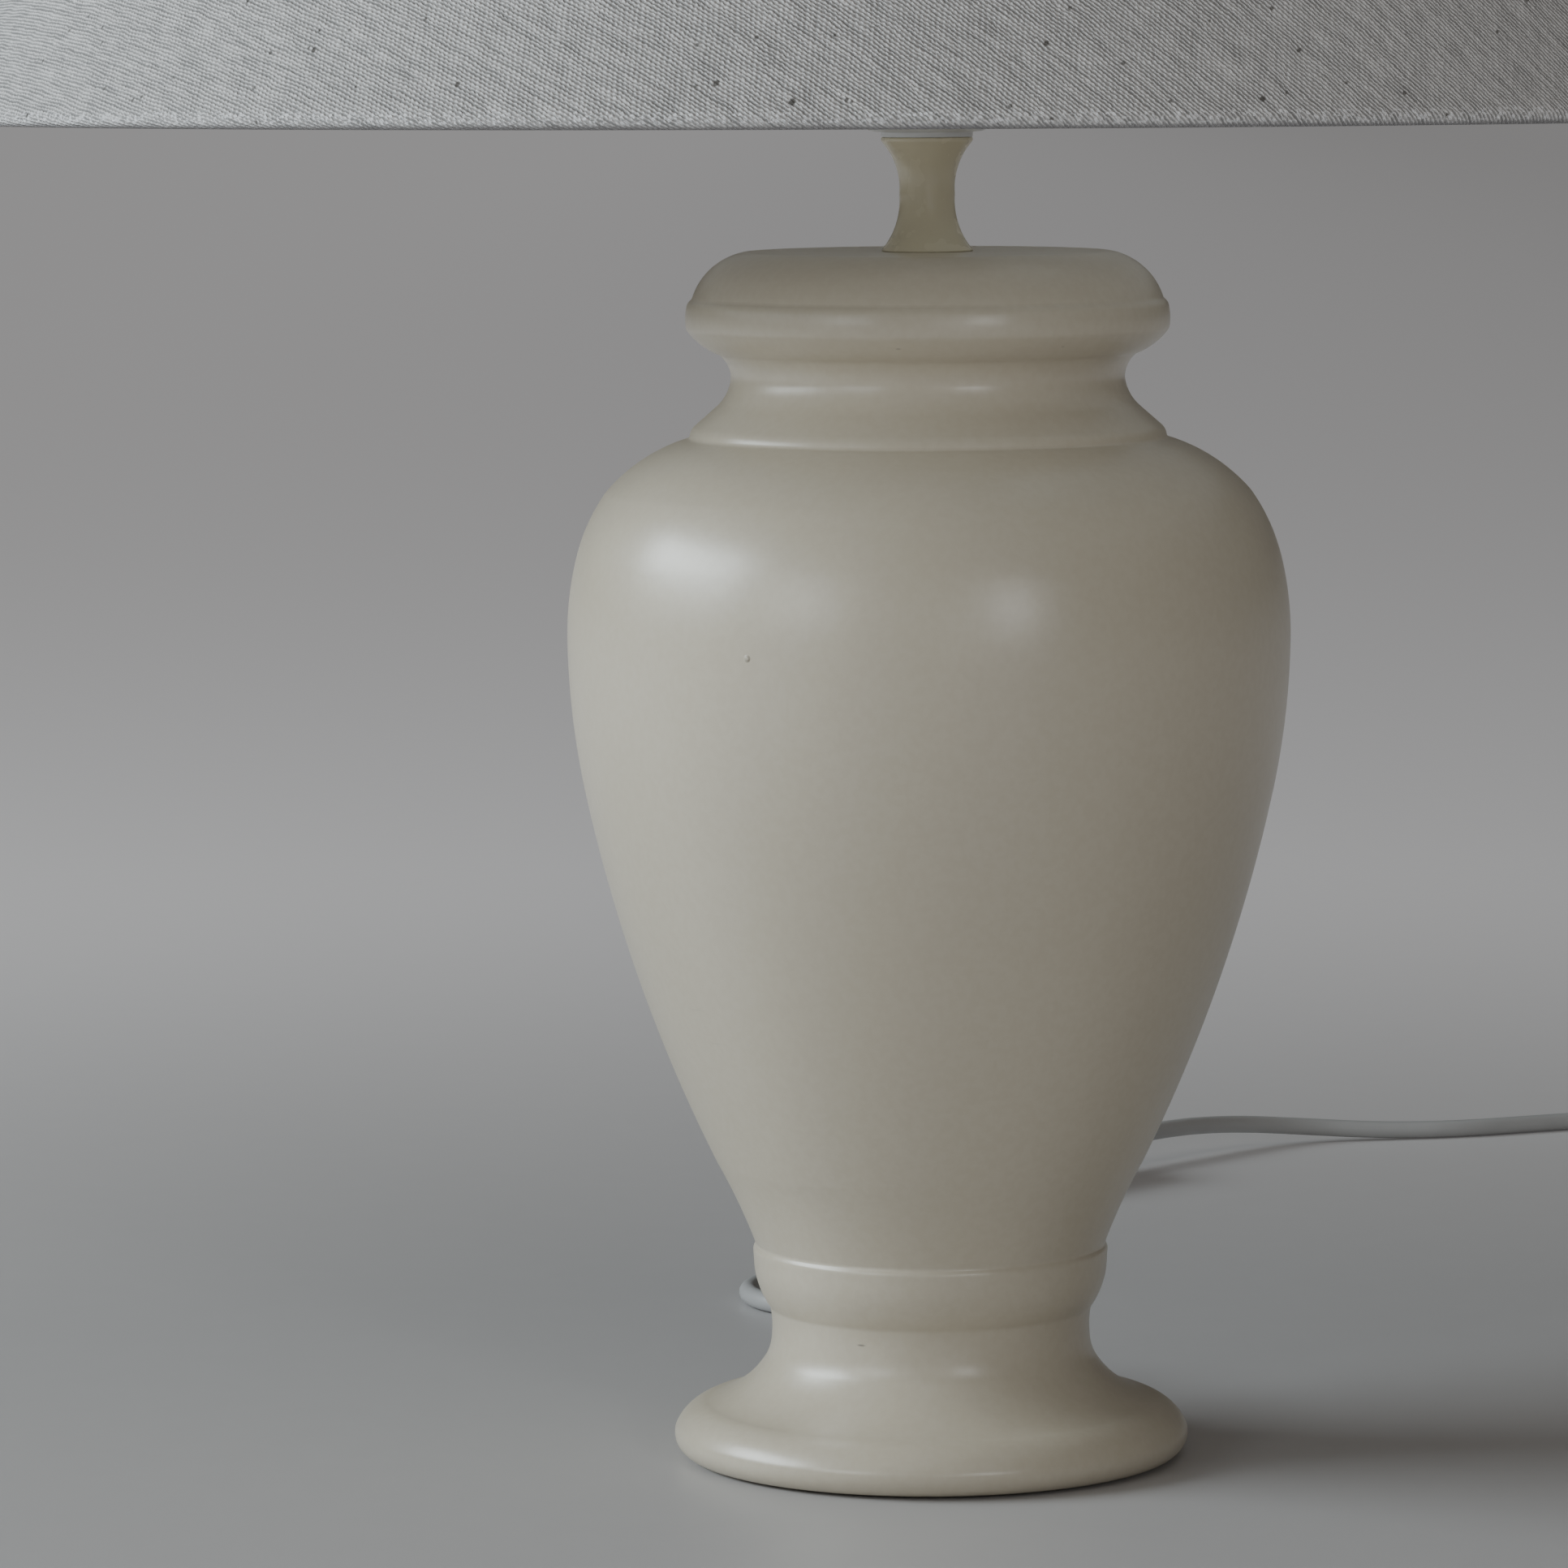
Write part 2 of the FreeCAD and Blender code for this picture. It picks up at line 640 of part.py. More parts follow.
def centre_contact():
    """Bent spring strip on the insert's seat, under the bulb's tip."""
    body = new_body("centre_contact")
    seat = above_holder("insert_seat")
    crown = above_holder("insert_seat + contact_height")
    sketch = outline(body, "contact_profile", "XZ_Plane", [
        ("-contact_reach", seat), ("contact_reach / 2", seat),
        ("contact_reach / 2", f"{seat} + contact_sheet"),
        ("-contact_reach + 3 * contact_sheet", f"{seat} + contact_sheet"),
        ("-contact_reach / 2", f"{crown} - contact_sheet"),
        ("contact_reach / 2", f"{crown} - contact_sheet"), ("contact_reach / 2", crown),
        ("-contact_reach / 2 - contact_sheet", crown), ("-contact_reach", f"{seat} + contact_sheet"),
    ])
    pad = body.newObject("PartDesign::Pad", "contact_pad")
    pad.Profile = sketch
    pad.SideType = "Symmetric"
    pad.setExpression("Length", bound("contact_width"))


def shade_ring(label, level):
    """Moulded ring nut on the sleeve's thread, with a raised inner rim."""
    bore = "sleeve_radius + thread_clearance"
    turned(label, [
        ("shade_ring_radius", level),
        ("shade_ring_radius", f"{level} + shade_ring_thickness - ring_rim_height"),
        ("ring_rim_radius", f"{level} + shade_ring_thickness - ring_rim_height"),
        ("ring_rim_radius", f"{level} + shade_ring_thickness"),
        (bore, f"{level} + shade_ring_thickness"), (bore, level),
    ] if label.endswith("upper") else [
        ("ring_rim_radius", level),
        ("ring_rim_radius", f"{level} + ring_rim_height"),
        ("shade_ring_radius", f"{level} + ring_rim_height"),
        ("shade_ring_radius", f"{level} + shade_ring_thickness"),
        (bore, f"{level} + shade_ring_thickness"), (bore, level),
    ])


# ---------------------------------------------------------------- bulb

def bulb():
    """Opal bulb with an E27 cap, seated on the centre contact."""
    def above_contact(rise):
        return above_holder(f"insert_seat + contact_height + {rise}")

    turned("bulb_contact", ring_section(
        "0", "bulb_tip_radius", above_contact("0"), above_contact("bulb_tip_height")))
    turned("bulb_insulator", [
        ("bulb_tip_radius", above_contact("bulb_tip_height")),
        ("bulb_cap_radius - bulb_insulator_height / 2", above_contact("bulb_insulator_height")),
        ("0", above_contact("bulb_insulator_height")), ("0", above_contact("bulb_tip_height")),
    ])
    turned("bulb_cap", ring_section(
        "bulb_cap_radius - bulb_cap_wall", "bulb_cap_radius",
        above_contact("bulb_insulator_height"), above_contact("bulb_cap_height")))
    stem = "bulb_cap_radius - bulb_cap_wall"
    crown = "bulb_radius * (1 - sqrt(0.5))"
    inner_crown = "(bulb_radius - bulb_glass_wall) * (1 - sqrt(0.5))"
    turned("bulb_glass", [
        (stem, above_contact("bulb_cap_height - bulb_stem_depth")),
        (stem, above_contact("bulb_cap_height")),
        ("bulb_neck_radius", above_contact("bulb_neck_height"), "-bulb_neck_bulge"),
        ("bulb_radius", above_contact("bulb_belly_height"), crown),
        ("0", above_contact("bulb_belly_height + bulb_radius")),
        ("0", above_contact("bulb_belly_height + bulb_radius - bulb_glass_wall"), f"-({inner_crown})"),
        ("bulb_radius - bulb_glass_wall", above_contact("bulb_belly_height"), "bulb_neck_bulge"),
        ("bulb_neck_radius - bulb_glass_wall", above_contact("bulb_neck_height")),
        (f"{stem} - bulb_glass_wall", above_contact("bulb_cap_height")),
        (f"{stem} - bulb_glass_wall", above_contact("bulb_cap_height - bulb_stem_depth")),
    ])


# ---------------------------------------------------------------- shade

COSINE = "cos(shade_angle * 1 deg)"
SINE = "sin(shade_angle * 1 deg)"
HOOP_DEPTH = "(hoop_wire + hoop_clearance + cloth)"
LOW_HOOP = (f"(shade_radius - {HOOP_DEPTH})", f"(shade_level + {HOOP_DEPTH})")
HIGH_HOOP = (f"({LOW_HOOP[0]} - (shade_height - 2 * {HOOP_DEPTH}) * tan(shade_angle * 1 deg))",
             f"(shade_level + shade_height - {HOOP_DEPTH})")


def off_hoop(hoop, outwards, along="0"):
    """Return a point that far outwards from a hoop's middle, square to the cone, and up along it."""
    return (f"{hoop[0]} + ({outwards}) * {COSINE} - ({along}) * {SINE}",
            f"{hoop[1]} + ({outwards}) * {SINE} + ({along}) * {COSINE}")


def roll_point(hoop, radius, angle):
    """Return a point on a circle round a hoop's middle."""
    return (f"{hoop[0]} + ({radius}) * cos({angle} * 1 deg)",
            f"{hoop[1]} + ({radius}) * sin({angle} * 1 deg)")


def shade_cloth():
    """The cloth: one cone whose two edges are rolled round the hoops."""
    inner, outer = "(hoop_wire + hoop_clearance)", HOOP_DEPTH
    low_end, high_end = "roll_end_angle", "(180 - (roll_end_angle - 180) + 2 * shade_angle)"
    low_sweep = f"(180 + (180 - {low_end}) + shade_angle)"
    bulge = "{0} * (1 - cos(" + low_sweep + " / 2 * 1 deg))"
    turned("shade_fabric", [
        roll_point(LOW_HOOP, outer, low_end) + (bulge.format(outer),),
        off_hoop(LOW_HOOP, outer),
        off_hoop(HIGH_HOOP, outer) + (bulge.format(outer),),
        roll_point(HIGH_HOOP, outer, high_end),
        roll_point(HIGH_HOOP, inner, high_end) + ("-" + bulge.format(inner),),
        off_hoop(HIGH_HOOP, inner),
        off_hoop(LOW_HOOP, inner) + ("-" + bulge.format(inner),),
        roll_point(LOW_HOOP, inner, low_end),
    ])


def shade():
    """Cloth, stiff liner, seam tape, two wire hoops, three spider arms and the fitter ring."""
    shade_cloth()
    skin = "(hoop_wire + hoop_clearance)"
    turned("shade_liner", [
        off_hoop(LOW_HOOP, skin, "liner_setback"), off_hoop(HIGH_HOOP, skin, "-liner_setback"),
        off_hoop(HIGH_HOOP, f"{skin} - liner", "-liner_setback"),
        off_hoop(LOW_HOOP, f"{skin} - liner", "liner_setback"),
    ])
    tape = turned("seam_tape", [
        off_hoop(LOW_HOOP, f"{skin} - liner", "liner_setback"),
        off_hoop(HIGH_HOOP, f"{skin} - liner", "-liner_setback"),
        off_hoop(HIGH_HOOP, f"{skin} - liner - seam_thickness", "-liner_setback"),
        off_hoop(LOW_HOOP, f"{skin} - liner - seam_thickness", "liner_setback"),
    ], "seam_angle")
    tape.setExpression("Placement.Rotation.Angle", bound("90 deg - seam_angle / 2 * 1 deg"))
    for label, hoop in (("bottom_ring", LOW_HOOP), ("top_ring", HIGH_HOOP)):
        torus = DOC.addObject("Part::Torus", label)
        torus.setExpression("Radius1", bound(hoop[0]))
        torus.setExpression("Radius2", bound("hoop_wire"))
        torus.setExpression("Placement.Base.z", bound(hoop[1]))
        keep(torus, label)
    fitter_level = above_holder("lower_ring_level + shade_ring_thickness + ring_gap")
    turned("fitter_ring", ring_section(
        "fitter_bore", "fitter_radius", fitter_level, f"{fitter_level} + fitter_thickness"))
    spider_arms(f"{fitter_level} + fitter_thickness / 2")


def spider_arms(level):
    """Straight wires from the fitter ring down to the bottom hoop, one every third of a turn."""
    start = Vector(size("fitter_radius - arm_weld"), 0, size(level))
    hoop = Vector(size(LOW_HOOP[0]), 0, size(LOW_HOOP[1]))
    reach = hoop - start
    end = hoop - reach.normalize() * size("hoop_wire - arm_weld / 4")
    wire = Part.makeCylinder(size("arm_wire"), (end - start).Length, start, end - start)
    count = int(size("arm_count"))
    arms = [wire.rotated(Vector(), Vector(0, 0, 1), 360 / count * turn - 90) for turn in range(count)]
    feature = DOC.addObject("Part::Feature", "arms")
    feature.Shape = Part.makeCompound(arms)
    keep(feature, "spider_arms")


# ---------------------------------------------------------------- cord

def path_wire(name, points):
    """Return a wire of straight runs joined by tangent arcs, each as large as its runs allow."""
    corners = [Vector(*point) for point in points]
    edges = []
    radii = []
    start = corners[0]
    for before, corner, after in zip(corners, corners[1:], corners[2:]):
        back = before - corner
        ahead = after - corner
        turn = math.pi - back.getAngle(ahead)
        setback = RUN_SHARE * min(back.Length, ahead.Length)
        radius = setback / math.tan(turn / 2)
        radii.append(radius)
        back.normalize()
        ahead.normalize()
        centre = corner + (back + ahead).normalize() * (radius / math.cos(turn / 2))
        middle = centre + (corner - centre).normalize() * radius
        arc_start = corner + back * setback
        arc_end = corner + ahead * setback
        edges.append(Part.LineSegment(start, arc_start).toShape())
        edges.append(Part.Arc(arc_start, middle, arc_end).toShape())
        start = arc_end
    edges.append(Part.LineSegment(start, corners[-1]).toShape())
    print(name, "bend radii", [round(radius, 1) for radius in radii])
    return Part.Wire(edges)


def tube(label, points, radius):
    """Return a round tube along a path, after comparing its volume with section times length."""
    path = path_wire(label, points)
    direction = Vector(*points[1]) - Vector(*points[0])
    section = Part.Wire(Part.makeCircle(radius, Vector(*points[0]), direction))
    shape = path.makePipeShell([section], True, True)
    expected = math.pi * radius ** 2 * path.Length
    print(label, "length", round(path.Length, 1), "volume share", round(shape.Volume / expected, 4))
    if abs(shape.Volume / expected - 1) > 0.01:
        raise ValueError(label + " has the wrong volume")
    feature = DOC.addObject("Part::Feature", label + "_tube")
    feature.Shape = shape
    return keep(feature, label)


def inner_cable():
    """The cord inside the lamp: from the relief, up the hollow base and through the nipple."""
    level = size("waist_level")
    wall_face = size("waist_radius - wall - relief_inner_gap - relief_flange_thickness")
    top = size(above_holder("insert_bottom - contact_height"))
    climb = size("cable_climb")
    turns = [(0, wall_face * outwards, level + climb * upwards) for outwards, upwards in CABLE_SHARES]
    tube("inner_cable", [(0, wall_face, level)] + turns + [(0, 0, level + climb), (0, 0, top)],
         size("cord_radius"))


def on_floor(points):
    """Return route points with heights in place of the gaps under the cord."""
    rise = size("cord_radius + cord_lift")
    return [(x, y, gap + rise) for x, y, gap in points]


def switch_end(side):
    """Return the tip of the switch's strain relief on one side, -1 towards the lamp or 1 to the plug."""
    reach = side * size("switch_length / 2 + switch_relief")
    heading = math.radians(size("switch_heading"))
    return (size("switch_x") + reach * math.cos(heading), size("switch_y") + reach * math.sin(heading),
            size("switch_half_height"))


def coil_point(angle, radius, level):
    """Return a point of the coil at an angle about its middle."""
    turn = math.radians(angle)
    return (size("coil_x") + radius * math.cos(turn), size("coil_y") + radius * math.sin(turn), level)


def cord():
    """Free cord in two lengths, the put-away coil and the tail to the plug."""
    radius = size("cord_radius")
    outlet = (0, size("waist_radius + relief_length"), size("waist_level"))
    tube("cord_lamp_side", [outlet] + on_floor(LAMP_SIDE_POINTS) + [switch_end(-1)], radius)
    joint = coil_point(size("coil_joint_angle"), size("coil_radius"), size("cord_radius + cord_lift"))
    tube("cord_plug_side", [switch_end(1)] + on_floor(PLUG_SIDE_POINTS) + [joint], radius)
    leaving = coil_point(0, size("coil_exit_radius"), size("coil_exit_level"))
    plug_end = (size("plug_x"), size("plug_y"), size("plug_thickness / 2"))
    tube("cord_tail", [leaving] + on_floor(TAIL_POINTS) + [plug_end], radius)
    inner, outer = "coil_radius + cord_radius - coil_width", "coil_radius + cord_radius"
    bulge = "cord_radius * (1 - sqrt(0.5))"
    coil = turned("cord_coil", [
        (outer, "cord_radius"), (outer, "coil_height - cord_radius", bulge),
        (f"{outer} - cord_radius", "coil_height"), (f"{inner} + cord_radius", "coil_height", bulge),
        (inner, "coil_height - cord_radius"), (inner, "cord_radius", bulge),
        (f"{inner} + cord_radius", "0"), (f"{outer} - cord_radius", "0", bulge),
    ])
    coil.setExpression("Placement.Base.x", bound("coil_x"))
    coil.setExpression("Placement.Base.y", bound("coil_y"))


# ---------------------------------------------------------------- in-line switch

def place_switch(part):
    """Set a switch piece down in the cord, turned to the cord's heading."""
    part.Placement.Rotation = FreeCAD.Rotation(Vector(0, 0, 1), 1)
    part.setExpression("Placement.Base.x", bound("switch_x"))
    part.setExpression("Placement.Base.y", bound("switch_y"))
    part.setExpression("Placement.Rotation.Angle", bound("switch_heading * 1 deg"))


def switch():
    """Two moulded halves, a rocker on its pin, contacts, screws and a tapered relief each end."""
    outer = rounded_rectangle("switch_length", "switch_width", "switch_corner")
    inner = rounded_rectangle("switch_length", "switch_width", "switch_corner", "switch_wall")
    top_level = "2 * switch_half_height"
    pin_level = f"{top_level} - switch_wall"
    base = padded("switch_base", outer, "switch_half_height")
    pocketed(base, "base_hollow", inner, "switch_half_height - switch_wall", "switch_half_height")
    lid = padded("switch_lid", outer, "switch_half_height", "switch_half_height")
    pocketed(lid, "lid_hollow", inner, "switch_half_height - switch_wall", "switch_half_height", True)
    window = rounded_rectangle(
        "(rocker_length + 2 * rocker_gap + 2 * rocker_swing)", "(rocker_width + 2 * rocker_gap)",
        "window_corner")
    pocketed(lid, "rocker_window", window, "2 * switch_wall", top_level)
    PARTS.remove(lid)
    pin_length = "rocker_width + 2 * rocker_gap + 2 * pin_boss"
    start = ("0", f"-({pin_length}) / 2", pin_level)
    seat = cylinder("pin_seat", "rocker_pin_radius", pin_length, start, Vector(0, 1, 0))
    top = keep(cut("seated_lid", lid, seat), "switch_top")
    pin = keep(cylinder("rocker_axle", "rocker_pin_radius", pin_length, start, Vector(0, 1, 0)), "rocker_pin")
    rocker = switch_rocker(pin_level)
    reliefs = [cone(f"switch_relief_{side}", "switch_relief_root", "relief_tip_radius", "switch_relief",
                    (f"{sign} * switch_length / 2", "0", "switch_half_height"), Vector(sign, 0, 0))
               for side, sign in (("lamp", -1), ("plug", 1))]
    relief_pair = keep(joined("switch_relief_pair", reliefs), "switch_reliefs")
    for part in (base, top, rocker, relief_pair):
        place_switch(part)
    place_crosswise(pin, pin_length, pin_level)
    for part in (switch_contacts(), switch_screws()):
        place_switch(part)


def place_crosswise(pin, length, level):
    """Lay the rocker's pin across the switch, square to the cord's heading."""
    heading = math.radians(size("switch_heading"))
    across = Vector(-math.sin(heading), math.cos(heading), 0)
    pin.Placement.Rotation = FreeCAD.Rotation(Vector(0, 0, 1), across)
    half = f"({length}) / 2"
    pin.setExpression("Placement.Base.x", bound(f"switch_x + {half} * sin(switch_heading * 1 deg)"))
    pin.setExpression("Placement.Base.y", bound(f"switch_y - {half} * cos(switch_heading * 1 deg)"))
    pin.setExpression("Placement.Base.z", bound(level))


def switch_rocker(pin_level):
    """Rocker with one end pressed down, bored for its pin."""
    body = DOC.addObject("PartDesign::Body", "rocker_blank")
    half = "rocker_length / 2"
    lean = f"{half} * tan(rocker_travel / 2 * 1 deg)"
    sketch = outline(body, "rocker_side", "XZ_Plane", [
        (f"-({half})", f"{pin_level} + rocker_height - 2 * {lean}"),
        ("-rocker_depth", f"{pin_level} - rocker_depth", "rocker_depth * (1 - sqrt(0.5))"),
        ("rocker_depth", f"{pin_level} - rocker_depth"),
        (half, f"{pin_level} - rocker_depth / 4"),
        (half, f"{pin_level} + rocker_height"),
        ("0", f"{pin_level} + rocker_height - {lean}", "rocker_hollow"),
    ])
    pad = body.newObject("PartDesign::Pad", "rocker_pad")
    pad.Profile = sketch
    pad.SideType = "Symmetric"
    pad.setExpression("Length", bound("rocker_width"))
    bore = cylinder("rocker_bore", "rocker_pin_radius + pin_clearance", "2 * rocker_width",
                    ("0", "-rocker_width", pin_level), Vector(0, 1, 0))
    return keep(cut("bored_rocker", body, bore), "switch_rocker")


def switch_contacts():
    """Two brass blades that the rocker bridges, standing on the base's floor."""
    blades = []
    for side, sign in (("lamp", -1), ("plug", 1)):
        blade = DOC.addObject("Part::Box", f"blade_{side}")
        blade.setExpression("Length", bound("blade_length"))
        blade.setExpression("Width", bound("contact_width"))
        blade.setExpression("Height", bound("switch_half_height - switch_wall"))
        blade.setExpression("Placement.Base.x", bound(f"{sign} * rocker_length / 2 - blade_length / 2"))
        blade.setExpression("Placement.Base.y", bound("-contact_width / 2"))
        blade.setExpression("Placement.Base.z", bound("switch_wall"))
        blades.append(blade)
    return keep(joined("blade_pair", blades), "switch_contacts")


def switch_screws():
    """Two screws that hold the halves together, standing in the hollow."""
    screws = [cylinder(f"switch_screw_{side}", "screw_radius", "2 * (switch_half_height - switch_wall)",
                       (f"{sign} * screw_spacing / 2", "0", "switch_wall"))
              for side, sign in (("lamp", -1), ("plug", 1))]
    return keep(joined("screw_pair", screws), "switch_screws")


# ---------------------------------------------------------------- plug

def plug():
    """Flat two-pin plug lying on the floor, its pins pointing away from the cord's end."""
    middle = "plug_thickness / 2"
    front = "-plug_relief_length - plug_length"
    back_half, half = "plug_back_width / 2", "plug_width / 2"
    body = padded("plug_body", [
        (f"-({back_half})", front + " + plug_length"),
        (f"-({half})", front + " + plug_length - plug_taper"),
        (f"-({half})", front + " + plug_corner", "plug_corner * (1 - sqrt(0.5))"),
        (f"-({half}) + plug_corner", front),
        (f"{half} - plug_corner", front, "plug_corner * (1 - sqrt(0.5))"),
        (half, front + " + plug_corner"),
        (half, front + " + plug_length - plug_taper"),
        (back_half, front + " + plug_length"),
    ], "plug_thickness")
    keep(cone("plug_sleeve", "relief_tip_radius", "relief_root_radius", "plug_relief_length",
              ("plug_x", "plug_y", middle), Vector(0, -1, 0)), "plug_relief")
    pins = [cylinder(f"pin_{side}", "pin_radius", "pin_length",
                     (f"{sign} * pin_spacing / 2", front, middle), Vector(0, -1, 0))
            for side, sign in (("left", -1), ("right", 1))]
    pair = keep(joined("pin_pair", pins), "plug_pins")
    for part in (body, pair):
        part.setExpression("Placement.Base.x", bound("plug_x"))
        part.setExpression("Placement.Base.y", bound("plug_y"))


# ---------------------------------------------------------------- checks and files

def check_parts():
    """Stop if any object failed to build or any sub-part has a null or broken shape."""
    for item in DOC.Objects:
        if "Invalid" in item.State or "Error" in item.State:
            raise ValueError(f"{item.Name} failed: {item.State}")
    for part in PARTS:
        if part.Shape.isNull() or not part.Shape.isValid() or not part.Shape.Solids:
            raise ValueError(part.Label + " has no valid solid")


def write_parts():
    """Write one STEP file a sub-part."""
    os.makedirs("parts", exist_ok=True)
    for part in PARTS:
        box = part.Shape.BoundBox
        print(f"{part.Label:18s} solids {len(part.Shape.Solids)} volume {part.Shape.Volume:12.1f} "
              f"z {box.ZMin:7.2f} to {box.ZMax:7.2f}")
        part.Shape.exportStep(f"parts/{part.Label}.step")


fill_sheet()
ceramic_base()
base_fittings()
strain_relief()
neck_spool()
holder()
bulb()
shade()
inner_cable()
cord()
switch()
plug()
DOC.recompute()
check_parts()
write_parts()
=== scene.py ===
"""Table lamp with a turned ceramic base and a conical cloth shade: looks, light and camera.

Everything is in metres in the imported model's frame: +Z up along the lamp's axis, +Y to the back,
origin in the middle of the foot's underside.
"""

import logging
import math
from dataclasses import dataclass
from enum import Enum

import bmesh
import bpy
import numpy as np
from mathutils import Euler, Matrix, Vector

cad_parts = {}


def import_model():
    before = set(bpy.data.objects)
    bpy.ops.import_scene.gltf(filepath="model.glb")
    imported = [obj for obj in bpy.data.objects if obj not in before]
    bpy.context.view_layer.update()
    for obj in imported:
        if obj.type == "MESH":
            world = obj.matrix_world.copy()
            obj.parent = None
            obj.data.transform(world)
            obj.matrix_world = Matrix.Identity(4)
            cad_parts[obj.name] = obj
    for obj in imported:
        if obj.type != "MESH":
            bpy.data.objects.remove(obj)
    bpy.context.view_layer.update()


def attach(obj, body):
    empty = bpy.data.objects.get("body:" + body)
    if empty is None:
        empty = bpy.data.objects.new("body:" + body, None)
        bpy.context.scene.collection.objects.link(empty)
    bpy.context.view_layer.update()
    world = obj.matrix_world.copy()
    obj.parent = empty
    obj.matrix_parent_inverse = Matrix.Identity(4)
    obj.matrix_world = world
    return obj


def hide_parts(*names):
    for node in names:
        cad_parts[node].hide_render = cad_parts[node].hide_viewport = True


LOG = logging.getLogger("table_lamp")
MM = 0.001
STRAIGHT = 1e-7
DOUBLED = 1e-6
NO_LENGTH = 1e-7
BELL_REACH = 3.0
FEWEST_POINTS = 8

Corner = tuple[float, ...]
Socket = bpy.types.NodeSocket
Piece = bpy.types.Object
Material = bpy.types.Material


class Body(Enum):
    """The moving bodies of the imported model."""

    ROOT = "root"
    SHADE = "shade"
    SHADE_RING = "shade_ring"
    BULB = "bulb"
    ROCKER = "rocker"


# ---------------------------------------------------------------- surfaces

def arc_points(start: np.ndarray, end: np.ndarray, bulge: float, step: float) -> np.ndarray:
    """Sample the arc from start to end that stands a bulge off its chord, on the right of the way.

    The radius is (chord^2 / 4 + bulge^2) / (2 bulge), and the points lie at even angles.

    Args:
        start: First point.
        end: Last point, which is left out.
        bulge: Height of the arc over its chord, negative for the left side.
        step: Largest distance between points.

    Returns:
        The points, one row each.
    """
    chord = end - start
    length = float(np.hypot(*chord))
    count = max(int(math.ceil(length / step)), 1)
    share = np.arange(count) / count
    if abs(bulge) < STRAIGHT:
        return start + share[:, None] * chord
    right = np.array([chord[1], -chord[0]]) / length
    radius = (length ** 2 / 4 + bulge ** 2) / (2 * bulge)
    half_turn = 2 * math.atan(2 * bulge / length)
    angle = (2 * share - 1) * half_turn
    along = np.sin(angle) * radius
    off = np.cos(angle) * radius - (radius - bulge)
    middle = (start + end) / 2
    return middle + along[:, None] * chord / length + off[:, None] * right


def profile_through(corners: list[Corner], step: float, closed: bool = False) -> np.ndarray:
    """Sample an outline given by corners, each with the bulge of the arc that leaves it.

    Args:
        corners: (across, up) or (across, up, bulge), in metres.
        step: Largest distance between points.
        closed: Whether the outline returns to its first corner.

    Returns:
        The outline's points, one row each.
    """
    ends = [np.array(corner[:2], dtype=float) for corner in corners]
    bulges = [corner[2] if len(corner) > 2 else 0.0 for corner in corners]
    pairs = list(zip(ends, ends[1:] + ends[:1], bulges))
    if not closed:
        pairs = pairs[:-1]
    pieces = [arc_points(start, end, bulge, step) for start, end, bulge in pairs]
    if not closed:
        pieces.append(ends[-1][None, :])
    return np.concatenate(pieces)


def softened(points: np.ndarray, width: float, step: float) -> np.ndarray:
    """Round a profile's creases: space it evenly, then average it with a bell-shaped weight.

    Args:
        points: The profile.
        width: Standard deviation of the weight along the profile.
        step: Distance between the new points.

    Returns:
        The softened profile, with its two ends kept.
    """
    travel = np.concatenate([[0], np.cumsum(np.hypot(*np.diff(points, axis=0).T))])
    even = np.linspace(0, travel[-1], max(int(travel[-1] / step), FEWEST_POINTS))
    spaced = np.stack([np.interp(even, travel, points[:, axis]) for axis in range(2)], axis=1)
    reach = max(int(BELL_REACH * width / step), 1)
    offsets = np.arange(-reach, reach + 1)
    weight = np.exp(-0.5 * (offsets * step / width) ** 2)
    weight /= weight.sum()
    padded = np.concatenate([
        2 * spaced[0] - spaced[reach:0:-1], spaced, 2 * spaced[-1] - spaced[-2:-reach - 2:-1]])
    return np.stack([np.convolve(padded[:, axis], weight, "valid") for axis in range(2)], axis=1)


def turn_angles(turns: int) -> np.ndarray:
    """Return the angles of even steps round a full turn, one to a row."""
    return np.arange(turns)[:, None] * (2 * math.pi / turns)


def turned_points(profile: np.ndarray, turns: int, lift: np.ndarray | float = 0.0) -> np.ndarray:
    """Carry a profile round the vertical axis.

    A point at angle t is (r cos t, r sin t, z), where r is the profile's radius plus the lift.

    Args:
        profile: (radius, level) rows.
        turns: Steps in a full turn.
        lift: Extra radius, one number or an array of (turns, profile length).

    Returns:
        An array of (turns, profile length, 3).
    """
    angle = turn_angles(turns)
    radius = profile[None, :, 0] + lift
    level = np.broadcast_to(profile[None, :, 1], (turns, len(profile)))
    radius = np.broadcast_to(radius, level.shape)
    return np.stack([radius * np.cos(angle), radius * np.sin(angle), level], axis=2)


def thread_lift(level: np.ndarray, turns: int, pitch: float, depth: float, ease: np.ndarray) -> np.ndarray:
    """Return how far a thread draws a turned surface in.

    At level z and share s of a turn that is depth (cos(2 pi (z / pitch - s)) - 1) / 2.

    Args:
        level: Levels along the profile, in a row, in millimetres.
        turns: Steps in a full turn.
        pitch: Climb of the thread in one turn, in millimetres.
        depth: Depth of the thread, in millimetres.
        ease: Share of the depth at each level.

    Returns:
        An array of (turns, profile length), in metres.
    """
    share = np.arange(turns)[:, None] / turns
    ridge = np.cos(2 * math.pi * (level / pitch - share))
    return depth * (0.5 * ridge - 0.5) * ease * MM


